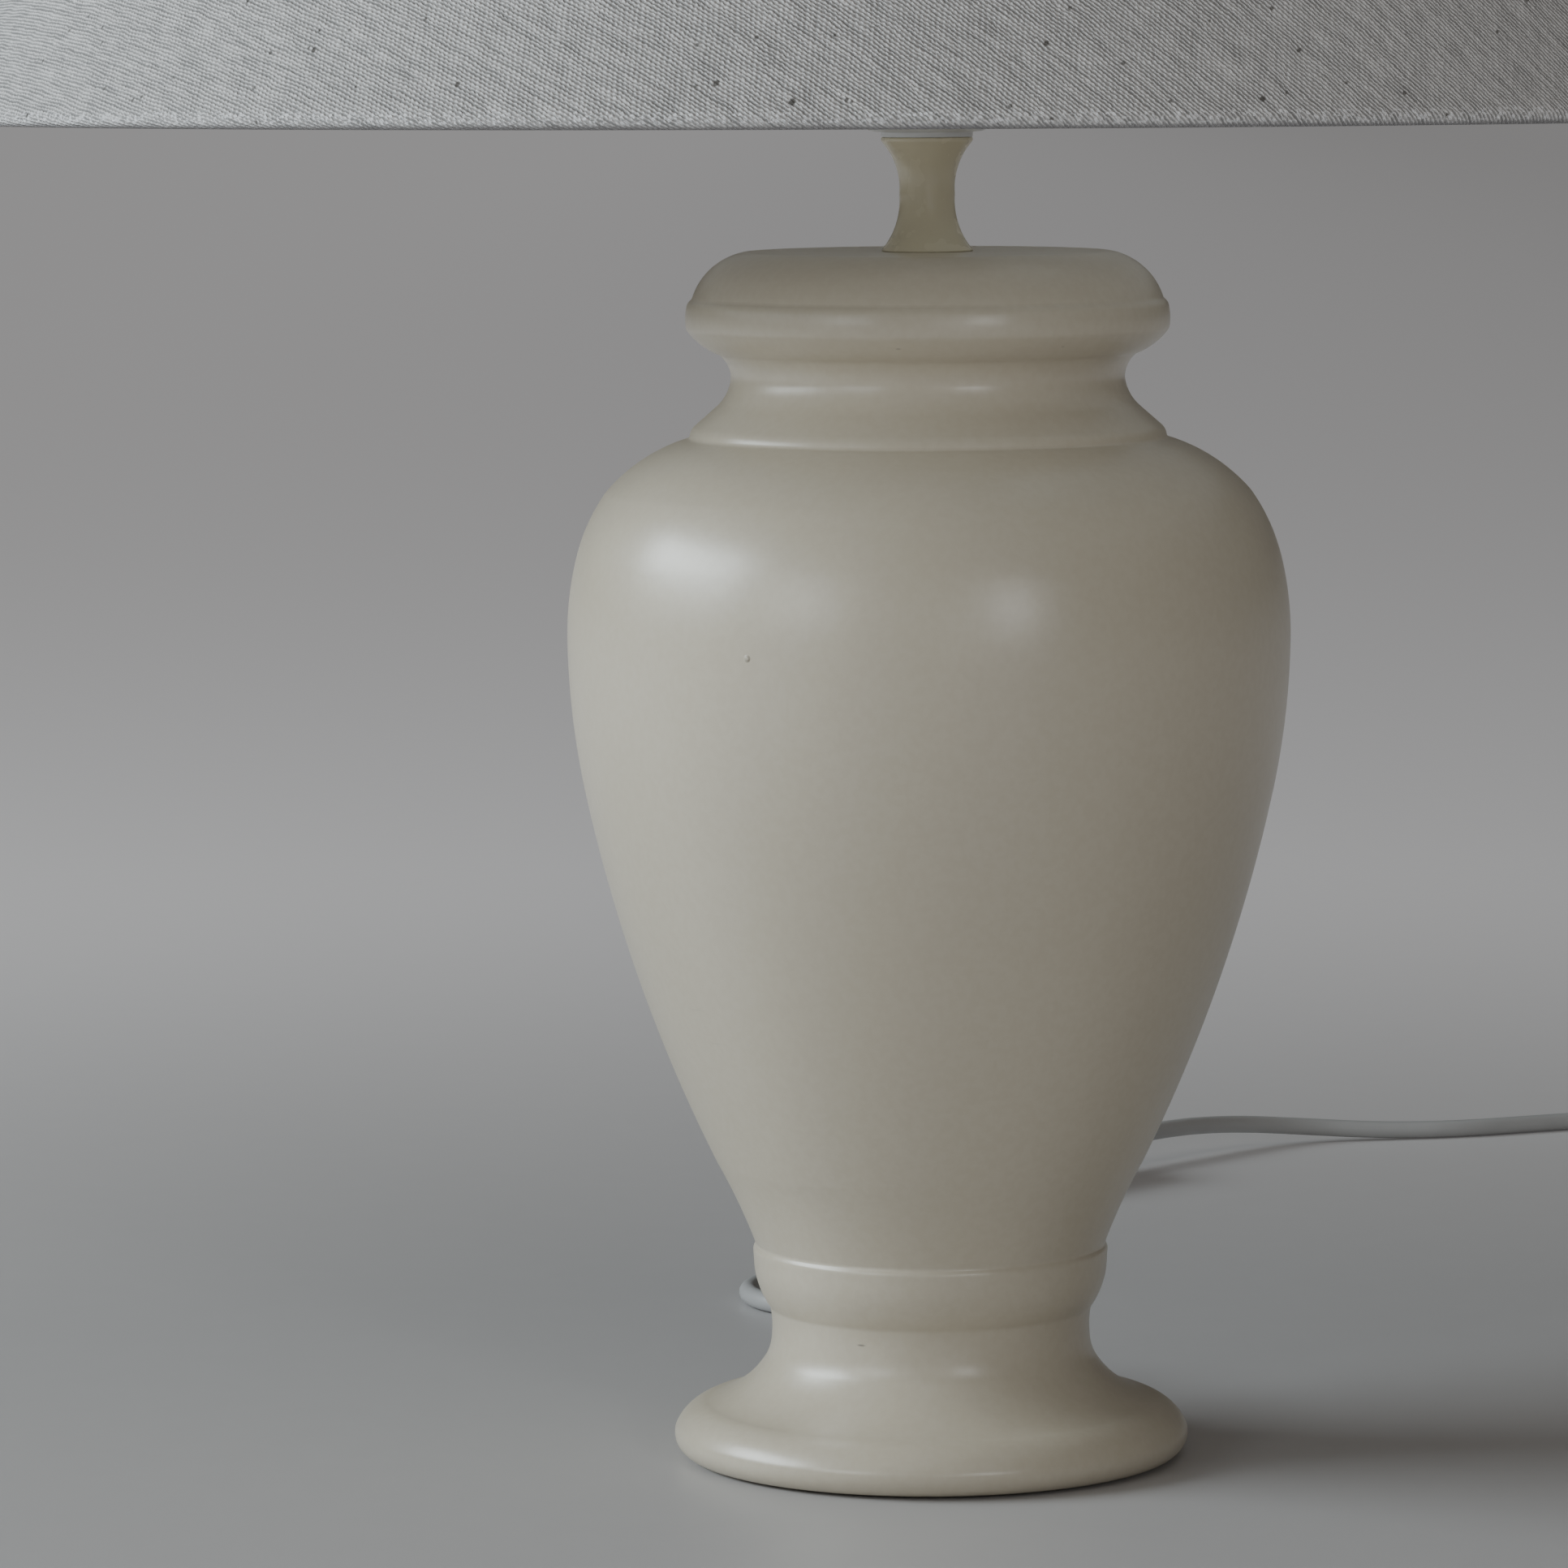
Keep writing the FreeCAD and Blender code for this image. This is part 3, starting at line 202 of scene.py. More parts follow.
def ribbed_side(root: float, tip: float, length: float, ribs: int, dip: float, samples: int,
                ease: float) -> np.ndarray:
    """Return the side of a tapered strain relief with a dip at each groove.

    Args:
        root: Radius at the start.
        tip: Radius at the end.
        length: How long it is.
        ribs: How many ribs it has.
        dip: Depth of a groove.
        samples: Points along it.
        ease: How steeply the grooves fade in from both ends.

    Returns:
        (radius, travel) rows.
    """
    along = np.linspace(0, 1, samples)
    groove = np.clip(np.cos(2 * math.pi * along * ribs), 0, None) ** 2
    fade = np.clip(np.minimum(along, 1 - along) * ease, 0, 1)
    radius = root + (tip - root) * along - dip * groove * fade
    return np.stack([radius, along * length], axis=1)


def swung(points: np.ndarray, origin: Corner, direction: Corner) -> np.ndarray:
    """Turn points made about the vertical axis to lie about another axis through an origin.

    Args:
        points: Any array whose last axis is x, y and z.
        origin: Where the local origin goes.
        direction: Where the local +Z points.

    Returns:
        The moved points.
    """
    turn = np.array(Vector((0, 0, 1)).rotation_difference(Vector(direction)).to_matrix())
    return points @ turn.T + np.array(origin)


def grid_object(
    name: str,
    points: np.ndarray,
    wrap_across: bool = True,
    wrap_along: bool = False,
    uv: np.ndarray | None = None,
    sharp: float = 180.0,
) -> Piece:
    """Make an object from a grid of points, four corners a face, with doubled points merged.

    Args:
        name: The piece's name.
        points: (count across, count along, 3).
        wrap_across: Whether the last row joins the first.
        wrap_along: Whether the last column joins the first.
        uv: (count across + 1, count along, 2) of map coordinates, or None.
        sharp: Angle in degrees beyond which an edge stays crisp.

    Returns:
        The object, in the scene and smooth shaded.
    """
    across, along = points.shape[:2]
    rows = np.arange(across if wrap_across else across - 1)
    columns = np.arange(along if wrap_along else along - 1)
    row, column = (item.ravel() for item in np.meshgrid(rows, columns, indexing="ij"))
    next_row, next_column = (row + 1) % across, (column + 1) % along
    faces = np.stack([
        row * along + column, next_row * along + column,
        next_row * along + next_column, row * along + next_column], axis=1)
    mesh = bpy.data.meshes.new(name)
    mesh.from_pydata(points.reshape(-1, 3), [], faces)
    if uv is not None:
        corners = np.stack([
            uv[row, column], uv[row + 1, column], uv[row + 1, next_column], uv[row, next_column]], axis=1)
        mesh.uv_layers.new(name="flat").data.foreach_set("uv", corners.reshape(-1).astype(np.float32))
    tidy_mesh(mesh, sharp)
    piece = bpy.data.objects.new(name, mesh)
    bpy.context.scene.collection.objects.link(piece)
    return piece


def tidy_mesh(mesh: bpy.types.Mesh, sharp: float) -> None:
    """Merge doubled points, drop faces without area, point faces outwards and shade smooth."""
    work = bmesh.new()
    work.from_mesh(mesh)
    bmesh.ops.remove_doubles(work, verts=work.verts, dist=DOUBLED)
    bmesh.ops.dissolve_degenerate(work, edges=work.edges, dist=NO_LENGTH)
    bmesh.ops.recalc_face_normals(work, faces=work.faces)
    work.to_mesh(mesh)
    work.free()
    mesh.shade_smooth()
    if sharp < 180:
        mesh.set_sharp_from_angle(angle=math.radians(sharp))


def rounded_ring(half_long: float, half_wide: float, corner: float, count: int = 48) -> np.ndarray:
    """Return a rounded rectangle: each quarter is a corner circle about a corner of the core.

    Args:
        half_long: Half of the size along x.
        half_wide: Half of the size along y.
        corner: Corner radius.
        count: Points in the ring.

    Returns:
        (count, 2) points, anticlockwise.
    """
    corner = min(corner, half_long, half_wide)
    angle = (np.arange(count) + 0.5) * (2 * math.pi / count)
    x = np.sign(np.cos(angle)) * (half_long - corner) + corner * np.cos(angle)
    y = np.sign(np.sin(angle)) * (half_wide - corner) + corner * np.sin(angle)
    return np.stack([x, y], axis=1)


def lofted_object(name: str, rings: list[np.ndarray], sharp: float = 35.0) -> Piece:
    """Skin a row of rings of points, closed at both ends by the middles of the end rings.

    Args:
        name: The piece's name.
        rings: (count, 3) arrays of one size, from one end to the other.
        sharp: Angle in degrees beyond which an edge stays crisp.

    Returns:
        The closed object.
    """
    first, last = rings[0], rings[-1]
    start = np.broadcast_to(first.mean(axis=0), first.shape)
    end = np.broadcast_to(last.mean(axis=0), last.shape)
    return grid_object(name, np.stack([start, *rings, end], axis=1), sharp=sharp)


def ring_at(flat: np.ndarray, level: float) -> np.ndarray:
    """Return a flat ring of points raised to a level."""
    return np.column_stack([flat, np.full(len(flat), level)])


# ---------------------------------------------------------------- materials

class NodeSheet:
    """A material's node tree with short calls for the nodes that the finishes use."""

    def __init__(self, name: str) -> None:
        """Start a material with one Principled shader."""
        self.material = bpy.data.materials.new(name)
        self.material.use_nodes = True
        self.tree = self.material.node_tree
        self.shader = self.tree.nodes["Principled BSDF"]

    def node(self, kind: str, inputs: dict[str | int, object] | None = None,
             **settings: object) -> bpy.types.Node:
        """Add a node.

        Args:
            kind: Blender's node type name, without "ShaderNode".
            inputs: A value or a socket for each input named or numbered.
            settings: Properties to set on the node.

        Returns:
            The node.
        """
        item = self.tree.nodes.new("ShaderNode" + kind)
        for key, value in settings.items():
            setattr(item, key, value)
        for key, value in (inputs or {}).items():
            self.feed(item.inputs[key], value)
        return item

    def feed(self, socket: Socket, value: object) -> None:
        """Link a socket or set a plain value on an input."""
        if isinstance(value, Socket):
            self.tree.links.new(value, socket)
        else:
            socket.default_value = value

    def place(self) -> Socket:
        """Return the piece's own coordinates, in metres."""
        return self.node("TexCoord").outputs["Object"]

    def flat_map(self) -> Socket:
        """Return the piece's map coordinates."""
        return self.node("UVMap", uv_map="flat").outputs["UV"]

    def scaled(self, vector: Socket, scale: Corner, turn: float = 0.0) -> Socket:
        """Return coordinates turned about z by a number of degrees and then scaled."""
        turned = self.node("Mapping", {"Vector": vector, "Rotation": (0, 0, math.radians(turn))})
        return self.node("Mapping", {"Vector": turned.outputs[0], "Scale": scale}).outputs[0]

    def noise(self, vector: Socket, scale: float, detail: float = 3.0,
              roughness: float = 0.5) -> Socket:
        """Return soft noise from 0 to 1."""
        return self.node("TexNoise", {
            "Vector": vector, "Scale": scale, "Detail": detail, "Roughness": roughness}).outputs["Fac"]

    def math(self, operation: str, first: object, second: object = 0.0) -> Socket:
        """Return the result of a sum on one or two values."""
        return self.node("Math", {0: first, 1: second}, operation=operation).outputs[0]

    def length(self, vector: Socket) -> Socket:
        """Return the length of a vector."""
        return self.node("VectorMath", {0: vector}, operation="LENGTH").outputs["Value"]

    def between(self, value: object, low: float, high: float, to_low: float = 0.0,
                to_high: float = 1.0) -> Socket:
        """Return a value carried smoothly from one range to another."""
        return self.node("MapRange", {
            "Value": value, "From Min": low, "From Max": high, "To Min": to_low, "To Max": to_high},
            interpolation_type="SMOOTHSTEP").outputs["Result"]

    def blend(self, factor: object, first: object, second: object) -> Socket:
        """Return two colours mixed by a factor."""
        item = self.node("Mix", data_type="RGBA")
        self.feed(item.inputs[0], factor)
        self.feed(item.inputs[6], opaque(first))
        self.feed(item.inputs[7], opaque(second))
        return item.outputs[2]

    def bump(self, height: Socket, distance: float, strength: float = 1.0,
             under: Socket | None = None) -> Socket:
        """Return a normal roughened by a height, over another one where given."""
        item = self.node("Bump", {"Height": height, "Distance": distance, "Strength": strength})
        if under is not None:
            self.feed(item.inputs["Normal"], under)
        return item.outputs[0]

    def finish(self, **inputs: object) -> Material:
        """Set or link the shader's inputs, named with underscores, and return the material."""
        for key, value in inputs.items():
            self.feed(self.shader.inputs[key.replace("_", " ")], opaque(value))
        return self.material


def opaque(colour: object) -> object:
    """Return a three-number colour with a fourth number of 1, and anything else as it is."""
    if isinstance(colour, tuple) and len(colour) == 3:
        return (*colour, 1.0)
    return colour


@dataclass(frozen=True)
class Mark:
    """A small flaw in the glaze: where it is, how far it reaches each way and how dark it is."""

    at: Corner
    reach: Corner
    darkness: float
    height: float = 0.0


@dataclass(frozen=True)
class Glaze:
    """Satin glaze over a cast body, cream and a little uneven, with small flaws.

    A pinhole sits in each cell whose random value is over pinhole_chance, and its darkness fades out
    between the two distances of pinhole_fade, in cells.
    """

    name: str = "ceramic_glaze"
    pale: Corner = (0.578, 0.524, 0.420)
    deep: Corner = (0.520, 0.460, 0.355)
    roughness: float = 0.32
    pinhole: Corner = (0.20, 0.18, 0.15)
    pinhole_cells: float = 95.0
    pinhole_chance: float = 0.965
    pinhole_fade: tuple[float, float] = (0.022, 0.045)
    pinhole_darkness: float = 0.35
    speck: Corner = (0.16, 0.14, 0.12)
    marks: tuple[Mark, ...] = (
        Mark((-0.0476, -0.0866, 0.2280), (0.0011, 0.0011, 0.0011), 0.20, 0.9),
        Mark((-0.0189, -0.0400, 0.0370), (0.0016, 0.0030, 0.0004), 0.75),
        Mark((0.0358, -0.0510, 0.3080), (0.0009, 0.0020, 0.0005), 0.55),
        Mark((-0.0077, -0.0620, 0.3080), (0.0011, 0.0020, 0.0005), 0.50),
        Mark((-0.0640, -0.0500, 0.1300), (0.0050, 0.0060, 0.0003), 0.16),
        Mark((-0.0560, -0.0480, 0.1210), (0.0040, 0.0060, 0.0003), 0.13),
    )

    def material(self) -> Material:
        """Return the glaze as a material."""
        sheet = NodeSheet(self.name)
        place = sheet.place()
        cloud = sheet.noise(place, 14, 3)
        grain = sheet.noise(place, 420, 2)
        colour = sheet.blend(sheet.math("MULTIPLY", cloud, 0.55), self.pale, self.deep)
        colour = sheet.blend(sheet.between(grain, 0.3, 0.7, 0.0, 0.45), colour, self.deep)
        pinholes = sheet.node("TexVoronoi", {"Vector": place, "Scale": self.pinhole_cells})
        chance = sheet.math("GREATER_THAN", sheet.node("SeparateColor", {
            "Color": pinholes.outputs["Color"]}).outputs[0], self.pinhole_chance)
        dots = sheet.between(pinholes.outputs["Distance"], *self.pinhole_fade, self.pinhole_darkness, 0.0)
        colour = sheet.blend(sheet.math("MULTIPLY", dots, chance), colour, self.pinhole)
        raised: Socket | None = None
        for mark in self.marks:
            away = sheet.node("VectorMath", {0: place, 1: mark.at}, operation="SUBTRACT").outputs[0]
            away = sheet.node("VectorMath", {0: away, 1: mark.reach}, operation="DIVIDE").outputs[0]
            spot = sheet.between(sheet.length(away), 0.25, 1.0, 1.0, 0.0)
            if mark.height:
                raised = spot
            colour = sheet.blend(sheet.math("MULTIPLY", spot, mark.darkness), colour, self.speck)
        normal = sheet.bump(sheet.noise(place, 55, 3), 0.0005, 0.22)
        normal = sheet.bump(grain, 0.00012, 0.25, normal)
        if raised is not None:
            normal = sheet.bump(raised, 0.0006, 0.8, normal)
        rough = sheet.between(sheet.noise(place, 30, 2), 0.2, 0.8,
                              self.roughness - 0.02, self.roughness + 0.04)
        return sheet.finish(
            Base_Color=colour, Roughness=rough, Normal=normal, IOR=1.5, Coat_Weight=0.40, Coat_Roughness=0.31)


@dataclass(frozen=True)
class Enamel:
    """Sprayed paint on turned metal or wire, with a fine orange peel."""

    name: str
    colour: Corner
    worn: Corner
    roughness: float = 0.38
    scale: float = 300.0

    def material(self) -> Material:
        """Return the enamel as a material."""
        sheet = NodeSheet(self.name)
        place = sheet.place()
        cloud = sheet.noise(place, 60, 3)
        colour = sheet.blend(sheet.between(cloud, 0.35, 0.7), self.colour, self.worn)
        peel = sheet.bump(sheet.noise(place, self.scale, 2), 0.0002, 0.3)
        rough = sheet.between(sheet.noise(place, 150, 2), 0.3, 0.7,
                              self.roughness - 0.04, self.roughness + 0.06)
        return sheet.finish(Base_Color=colour, Roughness=rough, Normal=peel)


@dataclass(frozen=True)
class Moulding:
    """Injection-moulded plastic or rubber with a fine spark texture and faint handling marks."""

    name: str
    colour: Corner
    roughness: float
    texture: float = 0.15
    softness: float = 0.0

    def material(self) -> Material:
        """Return the moulding as a material."""
        sheet = NodeSheet(self.name)
        place = sheet.place()
        dull = tuple(channel * 0.90 for channel in self.colour)
        grime = sheet.between(sheet.noise(place, 70, 5, 0.65), 0.45, 0.75, 0.0, 0.5)
        colour = sheet.blend(grime, self.colour, dull)
        spark = sheet.bump(sheet.noise(place, 1400, 2), 0.0001, self.texture)
        swell = sheet.bump(sheet.noise(place, 90, 2), 0.0004, 0.10, spark)
        rough = sheet.between(sheet.noise(place, 220, 3), 0.3, 0.7,
                              self.roughness - 0.04, self.roughness + 0.08)
        return sheet.finish(Base_Color=colour, Roughness=rough, Normal=swell, Subsurface_Weight=self.softness,
                            Subsurface_Scale=0.002)


@dataclass(frozen=True)
class Metal:
    """Turned or drawn metal with fine lines round it and a little tarnish."""

    name: str
    colour: Corner
    tarnish: Corner
    roughness: float = 0.28

    def material(self) -> Material:
        """Return the metal as a material."""
        sheet = NodeSheet(self.name)
        place = sheet.place()
        stain = sheet.between(sheet.noise(place, 120, 4, 0.6), 0.42, 0.72)
        colour = sheet.blend(stain, self.colour, self.tarnish)
        lines = sheet.noise(sheet.scaled(place, (60, 60, 2600)), 1.0, 2)
        normal = sheet.bump(lines, 0.0001, 0.25)
        rough = sheet.between(stain, 0.0, 1.0, self.roughness, self.roughness + 0.15)
        return sheet.finish(Base_Color=colour, Metallic=1.0, Roughness=rough, Normal=normal)


@dataclass(frozen=True)
class Pressed:
    """Felt, board or pressed fibre: short fibres in all directions."""

    name: str
    colour: Corner
    fleck: Corner
    fibre: float = 900.0
    depth: float = 0.0004

    def material(self) -> Material:
        """Return the pressed fibre as a material."""
        sheet = NodeSheet(self.name)
        place = sheet.place()
        across = sheet.noise(sheet.scaled(place, (self.fibre, self.fibre / 6, self.fibre), 25), 1.0, 3)
        along = sheet.noise(sheet.scaled(place, (self.fibre / 6, self.fibre, self.fibre), 25), 1.0, 3)
        hairs = sheet.math("MAXIMUM", across, along)
        colour = sheet.blend(sheet.between(hairs, 0.45, 0.75), self.colour, self.fleck)
        return sheet.finish(Base_Color=colour, Roughness=0.92, Normal=sheet.bump(hairs, self.depth, 0.6),
                            Sheen_Weight=0.25)


@dataclass(frozen=True)
class Opal:
    """White-flashed glass that hides what is inside, with a slight unevenness."""

    name: str = "opal_glass"
    colour: Corner = (0.86, 0.86, 0.83)

    def material(self) -> Material:
        """Return the glass as a material."""
        sheet = NodeSheet(self.name)
        place = sheet.place()
        thin = sheet.noise(place, 26, 2)
        colour = sheet.blend(sheet.between(thin, 0.3, 0.7), self.colour, (0.80, 0.80, 0.76))
        dust = sheet.noise(place, 900, 2)
        rough = sheet.between(dust, 0.4, 0.8, 0.16, 0.34)
        return sheet.finish(Base_Color=colour, Roughness=rough, Subsurface_Weight=0.35,
                            Subsurface_Scale=0.006, Coat_Weight=0.4, Coat_Roughness=0.08,
                            Normal=sheet.bump(thin, 0.0008, 0.08))


@dataclass(frozen=True)
class Cloth:
    """Slubbed off-white weave on the flat cone: diagonal ridges broken by near-upright threads.

    The map is in metres, so a count is in bands a metre, and a slant is the distance from the cone's apex.

    Attributes:
        name: The material's name.
        pale: Colour of the raised threads.
        shadow: Colour between them.
        ridges: Diagonal ridges a metre along each map axis.
        threads: Upright threads a metre along each map axis.
        strength: Strength of the weave's relief.
        slubs: Sets of husk flecks: cells a metre, share of cells, fleck radius in cells, darkness.
        husk: Colour of the flecks.
        fold_glint: Colour of the painted highlights on the thread bumps along the top of the fold over the
            low hoop.
        fold_glint_strength: How far the painted highlights' colour covers the cloth.
        fold_glint_band: Distances above the rim between which the painted highlights lie.
        rim_slant: Slant of the lower rim.
        rim_band: Distances above the rim between which the painted shade on its turned edge fades in.
        rim_shade: How dark the painted shade on the turned edge gets.
        edge_shade_and_glue: Colour of the turned edge: mostly painted shade where the roll faces down, with a
            little glue soiling.
    """

    name: str = "shade_weave"
    pale: Corner = (0.775, 0.760, 0.750)
    shadow: Corner = (0.240, 0.236, 0.233)
    ridges: Corner = (680.0, 750.0)
    threads: Corner = (780.0, -50.0)
    strength: float = 1.0
    slubs: tuple[Corner, ...] = (
        (160.0, 0.26, 0.14, 0.95),
        (260.0, 0.22, 0.17, 0.80),
        (90.0, 0.16, 0.10, 0.95),
    )
    husk: Corner = (0.10, 0.09, 0.08)
    fold_glint: Corner = (0.86, 0.86, 0.87)
    fold_glint_strength: float = 0.75
    fold_glint_band: tuple[float, float] = (0.0072, 0.0036)
    rim_slant: float = 0.4538
    rim_band: tuple[float, float] = (0.0030, 0.0016)
    rim_shade: float = 0.80
    edge_shade_and_glue: Corner = (0.24, 0.23, 0.235)

    def wave(self, sheet: NodeSheet, flat: Socket, count: Corner, stray: float,
             bend: Socket) -> Socket:
        """Return bands from 0 to 1 that run square to a count vector, each a little out of line.

        Args:
            sheet: The material's node tree.
            flat: Map coordinates.
            count: Bands a metre along each map axis.
            stray: How far a band strays, in bands.
            bend: Noise that moves the bands.

        Returns:
            The bands' height.
        """
        phase = sheet.node("VectorMath", {0: flat, 1: (count[0], count[1], 0)}, operation="DOT_PRODUCT")
        moved = sheet.math("ADD", phase.outputs["Value"], sheet.math("MULTIPLY", bend, stray))
        angle = sheet.math("MULTIPLY", moved, 2 * math.pi)
        return sheet.math("ADD", sheet.math("MULTIPLY", sheet.math("SINE", angle), 0.5), 0.5)

    def material(self) -> Material:
        """Return the cloth as a material."""
        sheet = NodeSheet(self.name)
        flat = sheet.flat_map()
        sway = sheet.noise(flat, 120, 3)
        jitter = sheet.noise(flat, 900, 2)
        bend = sheet.math("ADD", sway, sheet.math("MULTIPLY", jitter, 0.45))
        ridge = self.wave(sheet, flat, self.ridges, 1.3, bend)
        thread = self.wave(sheet, flat, self.threads, 1.0, bend)
        thick = sheet.noise(sheet.scaled(flat, (700, 60, 1), 3), 1.0, 2)
        slanted = sheet.noise(sheet.scaled(flat, (90, 620, 1), 42), 1.0, 2)
        broken = sheet.math("ADD", sheet.math("MULTIPLY", thread, 0.55), 0.45)
        weave = sheet.math("MULTIPLY", ridge, broken)
        uneven = sheet.math("ADD", sheet.math("MULTIPLY", thick, 0.35),
                            sheet.math("MULTIPLY", slanted, 1.15))
        height = sheet.math("ADD", weave, sheet.math("MULTIPLY", uneven, 0.9))
        tone = sheet.between(height, 0.50, 1.35)
        colour = sheet.blend(tone, self.shadow, self.pale)
        cloud = sheet.between(sheet.noise(flat, 22, 3), 0.3, 0.7, 0.0, 0.10)
        colour = sheet.blend(cloud, colour, self.shadow)
        for scale, share, size, darkness in self.slubs:
            colour = self.slubbed(sheet, flat, colour, scale, share, size, darkness)
        slant = sheet.length(flat)
        # Painted highlights: a broken row of light thread bumps along the top of the fold over the low hoop.
        first, last = (self.rim_slant - depth for depth in self.fold_glint_band)
        fold_glints = sheet.between(sheet.noise(flat, 620, 2), 0.50, 0.60, 0.0, self.fold_glint_strength)
        fold_glints = sheet.math("MULTIPLY", fold_glints, sheet.between(slant, first, first + 0.001))
        fold_glints = sheet.math("MULTIPLY", fold_glints, sheet.between(slant, last - 0.0004, last + 0.0004, 1.0, 0.0))
        colour = sheet.blend(fold_glints, colour, self.fold_glint)
        # Painted shade, with a little glue soiling: the turned edge below the lower rim is darkened to a
        # grey.
        edge = sheet.math("ADD", slant, sheet.math("MULTIPLY", sheet.noise(flat, 60, 2), 0.0014))
        first, last = (self.rim_slant - depth for depth in self.rim_band)
        under = sheet.between(edge, first, last, 0.0, self.rim_shade)
        colour = sheet.blend(under, colour, self.edge_shade_and_glue)
        normal = sheet.bump(height, 0.00055, self.strength)
        return sheet.finish(Base_Color=colour, Roughness=0.88, Normal=normal, Sheen_Weight=0.15,
                            Sheen_Roughness=0.5, Specular_IOR_Level=0.3)

    def slubbed(self, sheet: NodeSheet, flat: Socket, colour: Socket, scale: float, share: float,
                size: float, darkness: float) -> Socket:
        """Return the colour with dark flecks of husk in some cells of a scattered pattern.

        Args:
            sheet: The material's node tree.
            flat: Map coordinates.
            colour: The cloth's colour so far.
            scale: Cells a metre.
            share: Share of the cells that have a fleck.
            size: Fleck radius as a share of a cell.
            darkness: How dark a fleck is.

        Returns:
            The new colour.
        """
        spread = sheet.scaled(flat, (scale, scale * 0.7, 1), 20)
        cells = sheet.node("TexVoronoi", {"Vector": spread, "Scale": 1.0})
        chance = sheet.math("LESS_THAN", sheet.node("SeparateColor", {
            "Color": cells.outputs["Color"]}).outputs[1], share)
        speck = sheet.between(cells.outputs["Distance"], size * 0.5, size, darkness, 0.0)
        return sheet.blend(sheet.math("MULTIPLY", speck, chance), colour, self.husk)


@dataclass(frozen=True)
class Backdrop:
    """Plain matt floor that glows a little far from the lamp, as a lit studio floor would."""

    name: str = "plain_floor"
    colour: Corner = (0.492, 0.475, 0.469)
    glow: Corner = (1.0, 1.0, 1.02)
    glow_strength: float = 0.225
    glow_starts: float = 0.25
    glow_full: float = 1.5
    glow_across: tuple[float, float] = (-1.2, 2.0)
    glow_sides: tuple[float, float] = (1.10, 0.76)

    def material(self) -> Material:
        """Return the floor's material."""
        sheet = NodeSheet(self.name)
        place = sheet.place()
        grain = sheet.noise(place, 60, 3)
        colour = sheet.blend(sheet.between(grain, 0.3, 0.7, 0.0, 0.25), self.colour,
                             tuple(channel * 0.96 for channel in self.colour))
        glow = sheet.between(sheet.length(place), self.glow_starts, self.glow_full, 0.0, self.glow_strength)
        across = sheet.node("SeparateXYZ", {0: place}).outputs[0]
        glow = sheet.math("MULTIPLY", glow, sheet.between(across, *self.glow_across, *self.glow_sides))
        return sheet.finish(Base_Color=colour, Roughness=0.42, Specular_IOR_Level=0.5,
                            Emission_Color=(*self.glow, 1.0), Emission_Strength=glow)


class Finish(Enum):
    """Each finish on the lamp, by the record's material slot."""

    CERAMIC = "ceramic"
    FELT = "felt"
    FIBREBOARD = "fibreboard"
    RUBBER = "white_rubber"
    ZINC = "zinc_steel"
    FIBRE = "fibre"
    SPOOL = "spool_enamel"
    MOULDING = "white_moulding"
    PORCELAIN = "porcelain"
    BRASS = "brass"
    OPAL = "opal_glass"
    NICKEL = "cap_nickel"
    BLACK_GLASS = "black_glass"
    SOLDER = "solder"
    CLOTH = "shade_cloth"
    LINER = "shade_liner"
    WIRE = "white_wire"
    SHEATH = "cord_sheath"
    ROCKER = "rocker"


RECIPES = {
    Finish.CERAMIC: Glaze(),
    Finish.FELT: Pressed("felt", (0.030, 0.030, 0.032), (0.075, 0.075, 0.078)),
    Finish.FIBREBOARD: Pressed("fibreboard", (0.200, 0.130, 0.075), (0.300, 0.210, 0.130), 500.0, 0.0002),
    Finish.RUBBER: Moulding("soft_rubber", (0.480, 0.480, 0.470), 0.50, 0.25),
    Finish.ZINC: Metal("zinc_steel", (0.560, 0.560, 0.550), (0.420, 0.410, 0.380)),
    Finish.FIBRE: Pressed("pressed_fibre", (0.120, 0.036, 0.024), (0.190, 0.070, 0.045), 700.0, 0.0001),
    Finish.SPOOL: Enamel("spool_enamel", (0.690, 0.628, 0.455), (0.675, 0.610, 0.440), 0.24),
    Finish.MOULDING: Moulding("white_moulding", (0.680, 0.680, 0.670), 0.32),
    Finish.PORCELAIN: Moulding("porcelain", (0.740, 0.725, 0.680), 0.14, 0.03),
    Finish.BRASS: Metal("brass", (0.760, 0.560, 0.250), (0.520, 0.340, 0.130)),
    Finish.OPAL: Opal(),
    Finish.NICKEL: Metal("nickelled_cap", (0.660, 0.655, 0.640), (0.520, 0.500, 0.470), 0.22),
    Finish.BLACK_GLASS: Moulding("black_glass", (0.012, 0.012, 0.014), 0.12, 0.05),
    Finish.SOLDER: Metal("solder", (0.480, 0.480, 0.490), (0.340, 0.340, 0.345), 0.42),
    Finish.CLOTH: Cloth(),
    Finish.LINER: Moulding("white_liner", (0.780, 0.780, 0.765), 0.55, 0.10),
    Finish.WIRE: Enamel("wire_enamel", (0.740, 0.740, 0.725), (0.660, 0.655, 0.630), 0.35, 500.0),
    Finish.SHEATH: Moulding("cord_sheath", (0.370, 0.366, 0.360), 0.42, 0.12),
    Finish.ROCKER: Moulding("rocker_plastic", (0.700, 0.700, 0.690), 0.22, 0.04),
}


